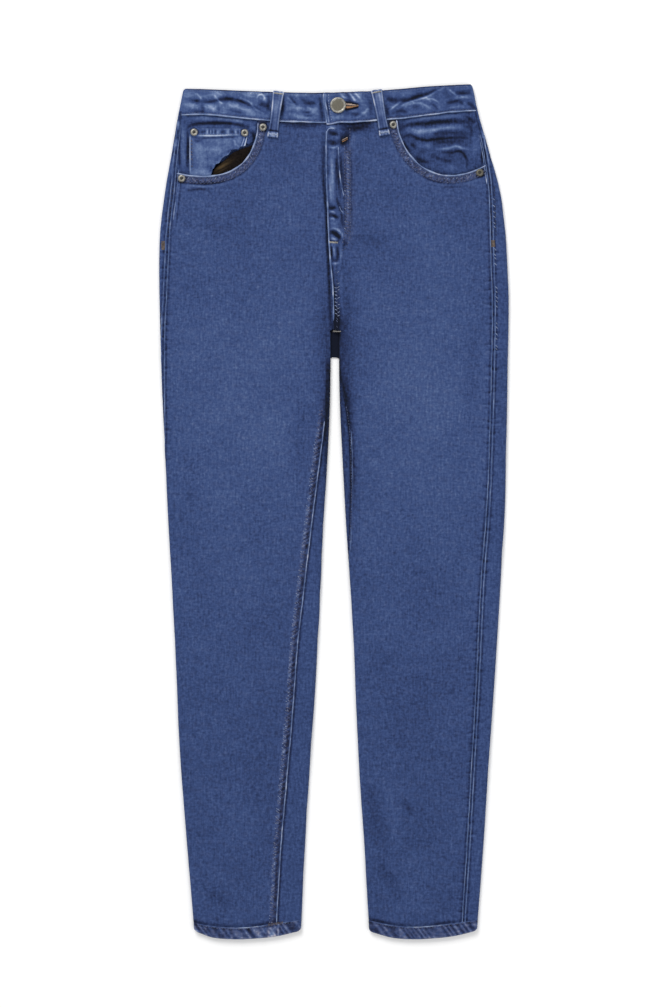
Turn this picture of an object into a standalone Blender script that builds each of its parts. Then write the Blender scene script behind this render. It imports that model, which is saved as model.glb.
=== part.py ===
"""Mom jeans laid flat, front up, with the legs pointing to -Y.

Sizes are in millimetres in the tables and constants, and become metres when a mesh is made.
Left and right are the wearer's, so the right leg is at -X. "Up" is the height above the lowest point of the
hems, along the garment. "Out" is the distance from the centre line, which is negative past it.

Every cloth piece lies on one flattened tube for each leg. A place round that tube is counted in slots:
0 is the crest of the outer fold, 3 to 11 is the flat front, 14 is the crest of the inner fold, and the
same numbers with a minus sign are the back. A seam that turns under the leg simply passes slot 0 or 14.
"""

from collections import namedtuple
from math import cos, hypot, pi, radians, sin

import bmesh
import bpy
from mathutils import Vector
from mathutils.geometry import delaunay_2d_cdt

MM = 0.001

# Driving sizes
LENGTH = 1026.5
DENIM = 1.4
BAND_CLOTH = 2.0
HEM_CLOTH = 2.2
FACING_CLOTH = 1.0
LOOP_CLOTH = 1.8
PATCH_CLOTH = 1.2
SEAM_GAP = 0.3
CLEAR = 0.3
FRONT_TOP = 6.4
HIP_TOP = 6.5
HEM_TOP = 7.2

# The back is raised over its belt loops near the waist
LOOP_RAISE = 1.5
RAISE_FROM = 935.0
RAISE_TO = 962.0

# Slots round a leg
TURN = 3
ACROSS = 8
INNER_FLAT = TURN + ACROSS
INNER_CREST = INNER_FLAT + TURN
ROUND = 2 * INNER_CREST
ROW_STEP = 28.0

# Heights of the crotch: the fronts part first, then the backs. PARTING is the way of an edge from the
# centre line round the inner fold, as slots past the flat and heights above the parting.
FRONT_PARTS = 729.0
BACK_PARTS = 697.0
BACK_CENTRE = 0.15
CROTCH_TURN = -0.8
PARTING = [(0, 2.0), (0, -0.1), (1, -0.8), (2, -1.4)]
CROTCH_ROWS = [FRONT_PARTS + 2, FRONT_PARTS - 2, BACK_PARTS + 2, BACK_PARTS - 2]

# The left front laps over the right one, in the panels and in the waistband
LAP = DENIM + CLEAR
LAP_FULL = 15.0
LAP_END = 26.0
UNDERLAP = 24.0
OVERLAP = 11.0
BAND_LAP = BAND_CLOTH + CLEAR
BAND_LAP_FULL = 30.0
BAND_LAP_END = 44.0

# How finely the waistband is divided
BAND_MIDDLE = 1000.0
BAND_FRONT_STEPS = 14
BAND_BACK_STEPS = 9
BAND_SHARES = (0.0, 0.35, 0.7, 1.0)

# The pocket edges stand a little proud, and the pieces inside the pockets lie lower
POCKET_LIFT = 0.8
POCKET_LIFT_FULL = 6.5
POCKET_LIFT_END = 13.0
FACING_DEPTH = 2.2
FACING_RAMP = 9.0
COIN_DEPTH = 0.9
BAG_TOP = 3.9
BAG_DROP = 1.2

# Patch pockets on the back, flush with the surface that the jeans lie on
PATCH_MARGIN = 3.0
PATCH_RAMP = 9.0
PATCH_LIFT = PATCH_CLOTH + CLEAR

Edge = namedtuple("Edge", "up out")
Seam = namedtuple("Seam", "up inset")
Band = namedtuple("Band", "out low high")
Hem = namedtuple("Hem", "share low high")
Fold = namedtuple("Fold", "out up length width turn rise")
LegForm = namedtuple("LegForm", "name side outer inner front_edge side_seam inseam band hem pocket")

# The outline: the outer edge and, below the crotch, the inner edge
RIGHT_OUTER = [
    Edge(1022, 180.6), Edge(990, 187.2), Edge(947, 194.6), Edge(899, 203.0), Edge(851, 209.0),
    Edge(815, 210.2), Edge(767, 209.8), Edge(695, 207.8), Edge(611, 204.2), Edge(515, 200.0),
    Edge(419, 194.6), Edge(323, 189.8), Edge(227, 185.6), Edge(131, 178.2), Edge(11, 168.2),
]
LEFT_OUTER = [
    Edge(1027, 165.6), Edge(990, 173.4), Edge(947, 185.8), Edge(899, 199.0), Edge(851, 205.4),
    Edge(800, 208.6), Edge(767, 209.8), Edge(695, 208.8), Edge(611, 207.4), Edge(515, 205.0),
    Edge(419, 199.4), Edge(323, 193.4), Edge(227, 187.0), Edge(131, 180.6), Edge(11, 171.6),
]
RIGHT_INNER = [
    Edge(729, 4.4), Edge(690, 4.4), Edge(636, 5.3), Edge(567, 8.6), Edge(495, 13.2), Edge(419, 16.4),
    Edge(354, 19.6), Edge(278, 24.2), Edge(191, 30.2), Edge(108, 35.2), Edge(11, 39.8),
]
LEFT_INNER = [
    Edge(729, 6.2), Edge(690, 5.8), Edge(636, 7.0), Edge(567, 10.4), Edge(495, 14.4), Edge(419, 19.6),
    Edge(354, 23.4), Edge(278, 26.4), Edge(191, 30.8), Edge(108, 36.4), Edge(11, 41.8),
]

# The centre front: the left front laps over the right one
RIGHT_FRONT_EDGE = [Edge(982, -2.0), Edge(790, -2.0), Edge(750, 0.5), Edge(731, 2.5)]
LEFT_FRONT_EDGE = [
    Edge(982, -9.8), Edge(937, -10.4), Edge(890, -9.0), Edge(844, -7.2), Edge(814, -5.3), Edge(789, -2.9),
    Edge(758, -1.4), Edge(731, -2.2),
]

# Seams, by their distance along the cloth from the crest of the fold, and minus where they lie underneath
RIGHT_SIDE_SEAM = [
    Seam(1000, 5), Seam(947, 8), Seam(905, 12), Seam(837, 13), Seam(782, 10), Seam(731, 3), Seam(660, -3),
    Seam(520, -9), Seam(354, -15), Seam(191, -20), Seam(11, -24),
]
LEFT_SIDE_SEAM = [
    Seam(1000, 5), Seam(965, 6), Seam(925, 11), Seam(880, 17), Seam(815, 21), Seam(700, 21), Seam(560, 22.5),
    Seam(431, 25), Seam(300, 23), Seam(191, 22), Seam(11, 20),
]
RIGHT_INSEAM = [
    Seam(729, CROTCH_TURN), Seam(690, CROTCH_TURN), Seam(636, 5.5), Seam(567, 11), Seam(495, 15.5),
    Seam(431, 20.4), Seam(354, 25.5), Seam(278, 26.5), Seam(191, 28), Seam(108, 30.2), Seam(11, 31),
]
LEFT_INSEAM = [
    Seam(729, CROTCH_TURN), Seam(690, CROTCH_TURN), Seam(640, 8), Seam(605, 11), Seam(564, 10.2),
    Seam(533, 9), Seam(495, 5.8), Seam(456, 0), Seam(347, -11), Seam(191, -20), Seam(11, -27),
]

# The waistband's lower and upper edges
RIGHT_BAND = [
    Band(-26, 980.2, 1016.4), Band(0, 980.0, 1015.9), Band(30, 980.4, 1016.0), Band(75, 982.0, 1016.9),
    Band(122, 986.6, 1018.8), Band(160, 989.8, 1020.4), Band(190, 988.4, 1021.0),
]
LEFT_BAND = [
    Band(-12, 980.2, 1015.8), Band(0, 980.0, 1015.9), Band(24, 980.2, 1016.8), Band(50, 982.6, 1018.2),
    Band(82, 985.2, 1020.6), Band(113, 989.0, 1023.4), Band(145, 992.8, 1025.2), Band(176, 994.6, 1026.5),
]

# The hems' lower and upper edges, from the outer fold (share 0) to the inner fold (share 1)
RIGHT_HEM = [
    Hem(0.0, 9.0, 19.4), Hem(0.15, 2.4, 16.0), Hem(0.35, 0.2, 14.2), Hem(0.55, 0.8, 15.2),
    Hem(0.78, 3.6, 19.4), Hem(1.0, 9.6, 23.2),
]
LEFT_HEM = [
    Hem(0.0, 9.6, 23.0), Hem(0.2, 4.0, 19.6), Hem(0.4, 1.2, 16.6), Hem(0.6, 0.2, 15.2),
    Hem(0.8, 2.0, 17.0), Hem(1.0, 8.6, 22.2),
]

# Pocket openings: control points of one curve, from the waistband to the side seam
RIGHT_POCKET = [(91.7, 979.5), (93.8, 935.3), (120.6, 905.0), (188.5, 919.5)]
LEFT_POCKET = [(75.4, 983.1), (77.8, 943.5), (117.0, 893.0), (181.5, 929.0)]

RIGHT = LegForm("right", -1, RIGHT_OUTER, RIGHT_INNER, RIGHT_FRONT_EDGE, RIGHT_SIDE_SEAM, RIGHT_INSEAM,
                RIGHT_BAND, RIGHT_HEM, RIGHT_POCKET)
LEFT = LegForm("left", 1, LEFT_OUTER, LEFT_INNER, LEFT_FRONT_EDGE, LEFT_SIDE_SEAM, LEFT_INSEAM,
               LEFT_BAND, LEFT_HEM, LEFT_POCKET)

# The largest folds: a ridge with its middle, length, half width, turn from the X axis in degrees and rise
RIGHT_FRONT_FOLDS = [
    Fold(160, 899, 24, 5, 8, 0.6),
    Fold(20, 884, 26, 6, 62, 0.5),
]
LEFT_FRONT_FOLDS = [
    Fold(140, 902, 26, 5, 8, 0.6),
    Fold(3, 884, 16, 5, -40, 0.8),
    Fold(4, 864, 18, 5, 35, 0.9),
    Fold(6, 843, 18, 5, -30, 0.7),
]
LEFT_FACING_FOLDS = [
    Fold(118, 974, 54, 5, 4, 0.6),
    Fold(122, 957, 64, 6, -3, 0.7),
    Fold(126, 936, 44, 6, -6, 0.5),
]
BAND_RIPPLE = 0.45
BAND_RIPPLES = 11
RIPPLE_FROM = 45.0
BAND_STILL = 20.0

# Yoke seam, from the side to the centre back
YOKE_AT_SIDE = 963.0
YOKE_AT_CENTRE = 925.0
YOKE_SIDE_OUT = 195.0

# Patch pocket outline on the right back: the left one mirrors it
PATCH = [(38, 884), (174, 878), (162, 756), (104, 732), (46, 760)]

# Outlines inside the pockets, as (out, up): the coin pocket, the facings' inner and lower edges, and the bag
COIN = [
    (173.6, 973.5), (102.4, 972.7), (106.6, 952.6), (121.6, 946.9), (144.4, 927.6), (150.0, 915.4),
    (173.6, 914.6),
]
RIGHT_FACING_LOW = [
    (79.5, 962.0), (98.6, 954.5), (121.4, 945.4), (144.2, 925.7), (149.8, 909.0), (158.0, 906.0),
]
LEFT_FACING_LOW = [
    (63.0, 968.0), (66.0, 944.0), (78.0, 922.0), (98.0, 904.0), (124.0, 896.0), (150.0, 903.0),
]
BAG = [
    (84.0, 952.0), (97.0, 954.2), (121.0, 944.8), (143.6, 925.2), (148.6, 909.4), (136.0, 899.0),
    (108.0, 905.0), (88.0, 928.0),
]
BAG_DROP_LENGTH = 22.0

# Rows of points down the panels and the smaller pieces
HIP_ROWS = [966, 944, 922, 900, 876, 850, 822, 794, 766, 744]
LEG_ROWS = [672, 644, 614, 582, 548, 512, 476, 440, 404, 366, 328, 288, 248, 206, 164, 122, 80, 44]
FACING_ROWS = [976, 964, 952, 940, 928, 916]
FACING_SIDE_ROWS = [940, 962, 977]
RAMP_ROWS = [980, 962, 944, 930, 922, 916]
COIN_ROWS = [964, 952, 940, 928]
BAG_ROWS = [944, 934, 924, 914]
YOKE_ROWS = [976, 962, 948, 935]
YOKE_CENTRE_ROWS = [966, 944]

# Where the panels' edges meet the waistband: in the middle, and at the tops of the side seams
FRONT_TOP_UP = 980.0
PANEL_TOP_UP = 985.0
YOKE_TOP_UP = 988.0
FACING_TOP_UP = 989.0
FACING_TOP_POINTS = 8

# Small fittings: places in out and up
Rivet = namedtuple("Rivet", "name leg out up base")
RIVET_RADIUS = 4.6
RIVETS = [
    Rivet("rivet_coin_outer", RIGHT, 168.2, 968.6, FRONT_TOP - COIN_DEPTH),
    Rivet("rivet_coin_inner", RIGHT, 107.4, 967.9, FRONT_TOP - COIN_DEPTH),
    Rivet("rivet_right_inner", RIGHT, 85.4, 974.4, HIP_TOP + POCKET_LIFT),
    Rivet("rivet_right_outer", RIGHT, 183.0, 913.0, FRONT_TOP + POCKET_LIFT),
    Rivet("rivet_left_inner", LEFT, 70.8, 977.4, HIP_TOP + POCKET_LIFT),
    Rivet("rivet_left_outer", LEFT, 174.6, 920.0, FRONT_TOP + POCKET_LIFT),
]
BUTTON_PLACE = (4.6, 1000.4)
BUTTON_RADIUS = 9.6
Loop = namedtuple("Loop", "name top_x top_up foot_x foot_up")
FRONT_LOOPS = [
    Loop("belt_loop_front_right", -66.8, 1016.6, -74.0, 962.2),
    Loop("belt_loop_front_left", 50.8, 1018.2, 60.6, 964.6),
]
BACK_LOOPS = [
    Loop("belt_loop_back_right", -112.0, 1015.0, -112.0, 967.0),
    Loop("belt_loop_back_centre", 0.0, 1013.0, 0.0, 967.0),
    Loop("belt_loop_back_left", 112.0, 1015.0, 112.0, 967.0),
]
LOOP_WIDTH = 13.0
LoopStep = namedtuple("LoopStep", "along height")
LOOP_BOW = [
    LoopStep(-2.6, -3.4), LoopStep(-2.4, -1.0), LoopStep(-0.8, 0.4), LoopStep(3.0, 0.5), LoopStep(12.0, 1.3),
    LoopStep(24.0, 1.8), LoopStep(36.0, 1.4),
]
LOOP_FOOT = 7.0
LOOP_FOOT_HEIGHT = 0.2

# Profiles of the turned pieces: share of the radius, and height
Turned = namedtuple("Turned", "share height")
RIVET_PROFILE = [
    Turned(0.0, 0.5), Turned(0.24, 0.55), Turned(0.36, 1.1), Turned(0.62, 1.35), Turned(0.86, 1.0),
    Turned(1.0, 0.45), Turned(1.0, 0.0), Turned(0.0, 0.0),
]
BUTTON_PROFILE = [
    Turned(0.0, 2.3), Turned(0.3, 2.35), Turned(0.66, 2.2), Turned(0.76, 2.55), Turned(0.88, 2.7),
    Turned(0.97, 2.2), Turned(1.0, 1.4), Turned(0.94, 0.5), Turned(0.78, 0.0), Turned(0.0, 0.0),
]
RIVET_SIDES = 16
BUTTON_SIDES = 32


def read(rows, at):
    """The value of a table at a place: smooth between its rows, and held past its ends."""
    places = [row[0] for row in rows]
    values = [row[1] for row in rows]
    if places[0] > places[-1]:
        places.reverse()
        values.reverse()
    if at <= places[0]:
        return values[0]
    if at >= places[-1]:
        return values[-1]
    last = len(places) - 1
    k = max(i for i in range(last) if places[i] <= at)
    step = places[k + 1] - places[k]
    rise = (values[k + 1] - values[k]) / step
    before = (values[k + 1] - values[k - 1]) / (places[k + 1] - places[k - 1]) if k > 0 else rise
    after = (values[k + 2] - values[k]) / (places[k + 2] - places[k]) if k + 2 <= last else rise
    s = (at - places[k]) / step
    start = (1 + 2 * s) * (1 - s) ** 2 * values[k] + s * (1 - s) ** 2 * step * before
    return start + s * s * (3 - 2 * s) * values[k + 1] + s * s * (s - 1) * step * after


def smooth(s):
    """0 to 1 with soft ends, for s from 0 to 1."""
    s = min(1.0, max(0.0, s))
    return s * s * (3 - 2 * s)


def world(x, up, z):
    return Vector((x * MM, (up - LENGTH / 2) * MM, z * MM))


def low_edge(rows, at):
    return read([(row[0], row.low) for row in rows], at)


def high_edge(rows, at):
    return read([(row[0], row.high) for row in rows], at)


# The form that all the cloth lies on


def floor_at(up):
    return LOOP_RAISE * smooth((up - RAISE_FROM) / (RAISE_TO - RAISE_FROM))


def top_at(up):
    return FRONT_TOP + (HIP_TOP - FRONT_TOP) * smooth((up - RAISE_FROM) / (RAISE_TO - RAISE_FROM))


def fold_radius(up):
    return (top_at(up) - floor_at(up)) / 2


def flat_end(leg, up, face):
    """Where the flat front (face 1) or back (face -1) ends at the centre line or at the inner fold."""
    parts = FRONT_PARTS if face > 0 else BACK_PARTS
    if up <= parts:
        return read(leg.inner, up) + fold_radius(up)
    return read(leg.front_edge, up) if face > 0 else BACK_CENTRE


def flat_slot(leg, up, out, face):
    """The slot of a place on the flat front or back."""
    start = read(leg.outer, up) - fold_radius(up)
    return face * (TURN + ACROSS * (start - out) / (start - flat_end(leg, up, face)))


def outer_slot(leg, up, inset):
    """The slot at a distance along the cloth from the crest of the outer fold."""
    quarter = pi * fold_radius(up) / 2
    if abs(inset) <= quarter:
        return TURN * inset / quarter
    out = read(leg.outer, up) - fold_radius(up) - (abs(inset) - quarter)
    return flat_slot(leg, up, out, 1 if inset > 0 else -1)


def inner_slot(leg, up, inset):
    """The slot at a distance along the cloth from the crest of the inner fold."""
    quarter = pi * fold_radius(up) / 2
    if abs(inset) <= quarter:
        return INNER_CREST - TURN * inset / quarter
    out = read(leg.inner, up) + fold_radius(up) + (abs(inset) - quarter)
    if inset > 0:
        return flat_slot(leg, up, out, 1)
    return flat_slot(leg, up, out, -1) + ROUND


def place_on(leg, up, slot, depth):
    """A point of the form as (out, z), at a depth inside its outer surface."""
    slot = (slot + INNER_CREST) % ROUND - INNER_CREST
    face = 1 if slot >= 0 else -1
    along = abs(slot)
    radius = fold_radius(up)
    middle = floor_at(up) + radius
    reach = radius - depth
    if along < TURN:
        angle = along / TURN * pi / 2
        return read(leg.outer, up) - radius + reach * cos(angle), middle + face * reach * sin(angle)
    if along <= INNER_FLAT:
        share = (along - TURN) / ACROSS
        start = read(leg.outer, up) - radius
        return start + share * (flat_end(leg, up, face) - start), middle + face * reach
    angle = (along - INNER_FLAT) / TURN * pi / 2
    return read(leg.inner, up) + radius - reach * sin(angle), middle + face * reach * cos(angle)


# Heights that single pieces add to the form


def fold_lift(folds, out, up):
    """How far ridges raise the cloth at a place."""
    lift = 0.0
    for fold in folds:
        angle = radians(fold.turn)
        along = (out - fold.out) * cos(angle) + (up - fold.up) * sin(angle)
        away = (up - fold.up) * cos(angle) - (out - fold.out) * sin(angle)
        taper = 1 - (2 * along / fold.length) ** 2
        lift += fold.rise * max(0.0, taper) * max(0.0, 1 - abs(away) / fold.width)
    return lift


def fold_lines(leg, folds):
    """The crest and the two feet of each ridge, as lines of (slot, up) on the front."""
    lines = []
    for fold in folds:
        angle = radians(fold.turn)
        for away in (-fold.width, 0.0, fold.width):
            line = []
            for share in (-0.45, -0.15, 0.15, 0.45):
                along = share * fold.length
                out = fold.out + along * cos(angle) - away * sin(angle)
                up = fold.up + along * sin(angle) + away * cos(angle)
                line.append((flat_slot(leg, up, out, 1), up))
            lines.append(line)
    return lines


def bezier(controls, steps):
    """Points along a curve with four control points."""
    points = []
    for k in range(steps + 1):
        s = k / steps
        weights = ((1 - s) ** 3, 3 * s * (1 - s) ** 2, 3 * s * s * (1 - s), s ** 3)
        points.append(tuple(sum(w * p[axis] for w, p in zip(weights, controls)) for axis in (0, 1)))
    return points


def distance_to_line(points, out, up):
    nearest = 1e9
    for (ax, ay), (bx, by) in zip(points, points[1:]):
        length = (bx - ax) ** 2 + (by - ay) ** 2
        s = max(0.0, min(1.0, ((out - ax) * (bx - ax) + (up - ay) * (by - ay)) / length))
        nearest = min(nearest, hypot(out - ax - s * (bx - ax), up - ay - s * (by - ay)))
    return nearest


def inside(outline, x, y):
    within = False
    for (ax, ay), (bx, by) in zip(outline, outline[1:] + outline[:1]):
        if (ay > y) != (by > y) and x < ax + (y - ay) * (bx - ax) / (by - ay):
            within = not within
    return within


def moved_along_normal(points, distance):
    """A line moved sideways: to the left of its direction for a positive distance."""
    moved = []
    last = len(points) - 1
    for k, (x, y) in enumerate(points):
        ax, ay = points[max(0, k - 1)]
        bx, by = points[min(last, k + 1)]
        length = hypot(bx - ax, by - ay)
        moved.append((x - distance * (by - ay) / length, y + distance * (bx - ax) / length))
    return moved


# Making solids

garment = bpy.data.collections.new("mom_jeans")


def clear_scene():
    for thing in list(bpy.data.objects):
        bpy.data.objects.remove(thing, do_unlink=True)
    bpy.context.scene.collection.children.link(garment)


def finish(colour, roughness, metallic, name):
    material = bpy.data.materials.new(name)
    material.use_nodes = True
    shader = material.node_tree.nodes["Principled BSDF"]
    shader.inputs["Base Color"].default_value = (*colour, 1.0)
    shader.inputs["Roughness"].default_value = roughness
    shader.inputs["Metallic"].default_value = metallic
    return material


DENIM_BLUE = finish((0.056, 0.091, 0.220), 0.92, 0.0, "denim")
BAG_BROWN = finish((0.020, 0.018, 0.020), 0.95, 0.0, "pocketing")
BRASS = finish((0.230, 0.205, 0.150), 0.45, 0.85, "aged_brass")


def add_object(name, shape, material):
    """A bmesh becomes a named object with its faces pointing out."""
    bmesh.ops.recalc_face_normals(shape, faces=shape.faces)
    mesh = bpy.data.meshes.new(name)
    shape.to_mesh(mesh)
    shape.free()
    mesh.materials.append(material)
    mesh.shade_smooth()
    mesh.set_sharp_from_angle(angle=radians(50))
    made = bpy.data.objects.new(name, mesh)
    garment.objects.link(made)
    return made


def cloth(name, leg, outline, rows, depth=0.0, wall=DENIM, lift=None, lines=(), material=DENIM_BLUE,
          slot_step=1):
    """A wall of cloth on a leg's form, cut to an outline of (slot, up).

    depth is how far its outer face lies inside the form, as a number or a function of (out, up).
    lift is a function of (out, up, slot) that raises both faces. lines are kept as edges of the mesh.
    """
    flat = [(slot, up / ROW_STEP) for slot, up in outline]
    edges = [(k, (k + 1) % len(flat)) for k in range(len(flat))]
    kept = [flat + flat[:1]]
    points = list(flat)
    for line in lines:
        within = [(slot, up / ROW_STEP) for slot, up in line if inside(flat, slot, up / ROW_STEP)]
        if len(within) < 2:
            continue
        edges += [(len(points) + k, len(points) + k + 1) for k in range(len(within) - 1)]
        points += within
        kept.append(within)
    first = min(slot for slot, _ in flat)
    last = max(slot for slot, _ in flat)
    for up in rows:
        for k in range(int(first / slot_step) - 1, int(last / slot_step) + 2):
            slot = k * slot_step
            spot = (slot, up / ROW_STEP)
            near = 0.3 * slot_step
            if inside(flat, *spot) and all(distance_to_line(line, *spot) > near for line in kept):
                points.append(spot)
    found, _, faces, _, _, _ = delaunay_2d_cdt([Vector(p) for p in points], edges, [], 1, 1e-6)

    shape = bmesh.new()
    sheets = []
    for inward in (0.0, wall):
        sheet = []
        for slot, row in found:
            up = row * ROW_STEP
            out, _ = place_on(leg, up, slot, 0.0)
            at_depth = depth(out, up) if callable(depth) else depth
            out, z = place_on(leg, up, slot, at_depth + inward)
            if lift:
                z += lift(out, up, slot)
            sheet.append(shape.verts.new(world(leg.side * out, up, z)))
        sheets.append(sheet)
    outer, inner = sheets
    sides = {}
    for face in faces:
        shape.faces.new([outer[k] for k in face])
        shape.faces.new([inner[k] for k in reversed(face)])
        for a, b in zip(face, face[1:] + face[:1]):
            sides[(a, b)] = (b, a) not in sides
            if not sides[(a, b)]:
                sides[(b, a)] = False
    for a, b in [side for side, is_side in sides.items() if is_side]:
        # The end faces twist, so both pieces of a seam split them along the same diagonal
        high, low = sorted((a, b), key=lambda k: (-round(found[k].y, 4), found[k].x))
        shape.faces.new([outer[high], inner[high], inner[low]])
        shape.faces.new([outer[high], inner[low], outer[low]])
    return add_object(name, shape, material)


def grid_solid(name, outer, inner, closed, material=DENIM_BLUE):
    """A wall between two grids of points, open at its edges or closed into a ring."""
    shape = bmesh.new()
    sheets = [[[shape.verts.new(point) for point in row] for row in grid] for grid in (outer, inner)]
    rows = len(outer)
    count = len(outer[0])
    span = count if closed else count - 1
    for flip, sheet in enumerate(sheets):
        for i in range(rows - 1):
            for j in range(span):
                k = (j + 1) % count
                corners = [sheet[i][j], sheet[i][k], sheet[i + 1][k], sheet[i + 1][j]]
                shape.faces.new(corners[::-1] if flip else corners)
    for i in (0, rows - 1):
        for j in range(span):
            k = (j + 1) % count
            shape.faces.new([sheets[0][i][j], sheets[1][i][j], sheets[1][i][k], sheets[0][i][k]])
    if not closed:
        for i in range(rows - 1):
            for j in (0, count - 1):
                end = [sheets[0][i][j], sheets[0][i + 1][j], sheets[1][i + 1][j], sheets[1][i][j]]
                shape.faces.new(end)
    return add_object(name, shape, material)


def turned(name, profile, radius, place, sides, material=BRASS):
    """A turned piece: its profile runs from the middle of its face round to the middle of its back."""
    mesh = bpy.data.meshes.new(name)
    points = [(row.share * radius * MM, 0.0, row.height * MM) for row in profile]
    mesh.from_pydata(points, [(k, k + 1) for k in range(len(points) - 1)], [])
    made = bpy.data.objects.new(name, mesh)
    garment.objects.link(made)
    mesh.materials.append(material)
    made.location = place
    screw = made.modifiers.new("turn", "SCREW")
    screw.steps = sides
    screw.render_steps = sides
    screw.use_merge_vertices = True
    screw.merge_threshold = 0.00001
    screw.use_smooth_shade = True
    return made


# Outlines of the pieces, as (slot, up)


def seam_line(leg, table, slot_of, ups, shift):
    """Points down a seam, moved along the cloth to leave its gap."""
    return [(slot_of(leg, up, read(table, up) + shift), up) for up in ups]


def across(first, last):
    """Whole slots from one slot to another, ends included."""
    step = 1 if last > first else -1
    between = [k for k in range(int(min(first, last)) - 1, int(max(first, last)) + 2)
               if min(first, last) + 0.2 < k < max(first, last) - 0.2]
    return [first] + sorted(between, key=lambda k: k * step) + [last]


def under_band(leg, slots):
    """The panels' top edge, along the waistband."""
    line = []
    for slot in slots:
        up = PANEL_TOP_UP
        for _ in range(3):
            out, _ = place_on(leg, up, slot, 0.0)
            up = low_edge(leg.band, out) - SEAM_GAP
        line.append((slot, up))
    return line


def hem_share(slot):
    slot = (slot + INNER_CREST) % ROUND - INNER_CREST
    return min(1.0, max(0.0, (abs(slot) - TURN) / ACROSS))


def above_hem(leg, slots):
    return [(slot, high_edge(leg.hem, hem_share(slot)) + SEAM_GAP / 2) for slot in slots]


def yoke_seam(out):
    share = min(1.0, max(0.0, out / YOKE_SIDE_OUT))
    return YOKE_AT_CENTRE + (YOKE_AT_SIDE - YOKE_AT_CENTRE) * share


def along_yoke(leg, slots, shift):
    line = []
    for slot in slots:
        out, _ = place_on(leg, YOKE_AT_SIDE, slot, 0.0)
        line.append((slot, yoke_seam(out) + shift))
    return line


def pocket_curve(leg, steps=11):
    """The pocket opening as (out, up), from the waistband to the side seam."""
    return bezier(leg.pocket, steps)


def parting(up, face):
    """Points where a panel's edge leaves the centre line and then turns round the inner fold."""
    return [(face * (INNER_FLAT + slots), up + above) for slots, above in PARTING]


def down(ups, top, bottom):
    return [up for up in ups if bottom + 6 < up < top - 6]


def front_lift(leg, folds):
    curve = pocket_curve(leg)

    def lift(out, up, slot):
        height = fold_lift(folds, out, up)
        away = distance_to_line(curve, out, up)
        share = (POCKET_LIFT_END - away) / (POCKET_LIFT_END - POCKET_LIFT_FULL)
        height += POCKET_LIFT * min(1.0, max(0.0, share))
        if leg is LEFT and up > FRONT_PARTS:
            past = out - read(leg.front_edge, up)
            height += LAP * min(1.0, max(0.0, (LAP_END - past) / (LAP_END - LAP_FULL)))
        return height * min(1.0, max(0.0, (abs(slot) - TURN) * 2))

    return lift


def build_front(leg, folds):
    curve = pocket_curve(leg)
    seam_end = (outer_slot(leg, curve[-1][1], read(leg.side_seam, curve[-1][1]) + SEAM_GAP / 2), curve[-1][1])
    opening = [(flat_slot(leg, up, out, 1), up) for out, up in curve[:-1]]
    slots = across(opening[0][0], INNER_FLAT)
    if leg is LEFT:
        edge = read(leg.front_edge, FRONT_TOP_UP)
        slots[-1:-1] = [flat_slot(leg, FRONT_TOP_UP, edge + past, 1) for past in (LAP_END, LAP_FULL)]
        slots = [slot for slot in slots if not INNER_FLAT - 1 < slot + 0.01 < slots[-3]]
    top = under_band(leg, sorted(slots))
    opening[0] = top[0]
    centre = [(INNER_FLAT, up) for up in HIP_ROWS] + parting(FRONT_PARTS, 1)
    crotch = [inner_slot(leg, up, CROTCH_TURN + SEAM_GAP / 2) for up in (FRONT_PARTS - 2, BACK_PARTS + 2)]
    centre += [(crotch[0], FRONT_PARTS - 2), (crotch[1], BACK_PARTS + 2)]
    inner = seam_line(leg, leg.inseam, inner_slot, [BACK_PARTS - 2] + LEG_ROWS, SEAM_GAP / 2)
    side = seam_line(leg, leg.side_seam, outer_slot, down(HIP_ROWS, curve[-1][1], FRONT_PARTS)
                     + CROTCH_ROWS + LEG_ROWS, SEAM_GAP / 2)
    hem_up = high_edge(leg.hem, 0.5)
    first = outer_slot(leg, hem_up, read(leg.side_seam, hem_up) + SEAM_GAP / 2)
    last = inner_slot(leg, hem_up, read(leg.inseam, hem_up) + SEAM_GAP / 2)
    hem = above_hem(leg, across(last, first))
    outline = top + centre + inner + hem + side[::-1] + [seam_end] + opening[:0:-1]
    lines = fold_lines(leg, folds)
    for away in (POCKET_LIFT_FULL, POCKET_LIFT_END):
        moved = moved_along_normal(curve, away)
        lines.append([(flat_slot(leg, up, out, 1), up) for out, up in moved[1:-2]])
    if leg is LEFT:
        for past in (LAP_FULL, LAP_END):
            ups = [FRONT_TOP_UP - 4] + HIP_ROWS
            lines.append([(flat_slot(leg, up, read(leg.front_edge, up) + past, 1), up) for up in ups])
    rows = HIP_ROWS + [FRONT_PARTS + 2, FRONT_PARTS - 2, BACK_PARTS] + LEG_ROWS
    cloth("front_" + leg.name, leg, outline, rows, lift=front_lift(leg, folds), lines=lines)


def patch_lift(out, up, slot):
    """The back panel stands off the patch pocket that lies under it."""
    away = 0.0 if inside(PATCH, out, up) else distance_to_line(PATCH + PATCH[:1], out, up)
    return PATCH_LIFT * min(1.0, max(0.0, 1 - (away - PATCH_MARGIN) / PATCH_RAMP))


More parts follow.
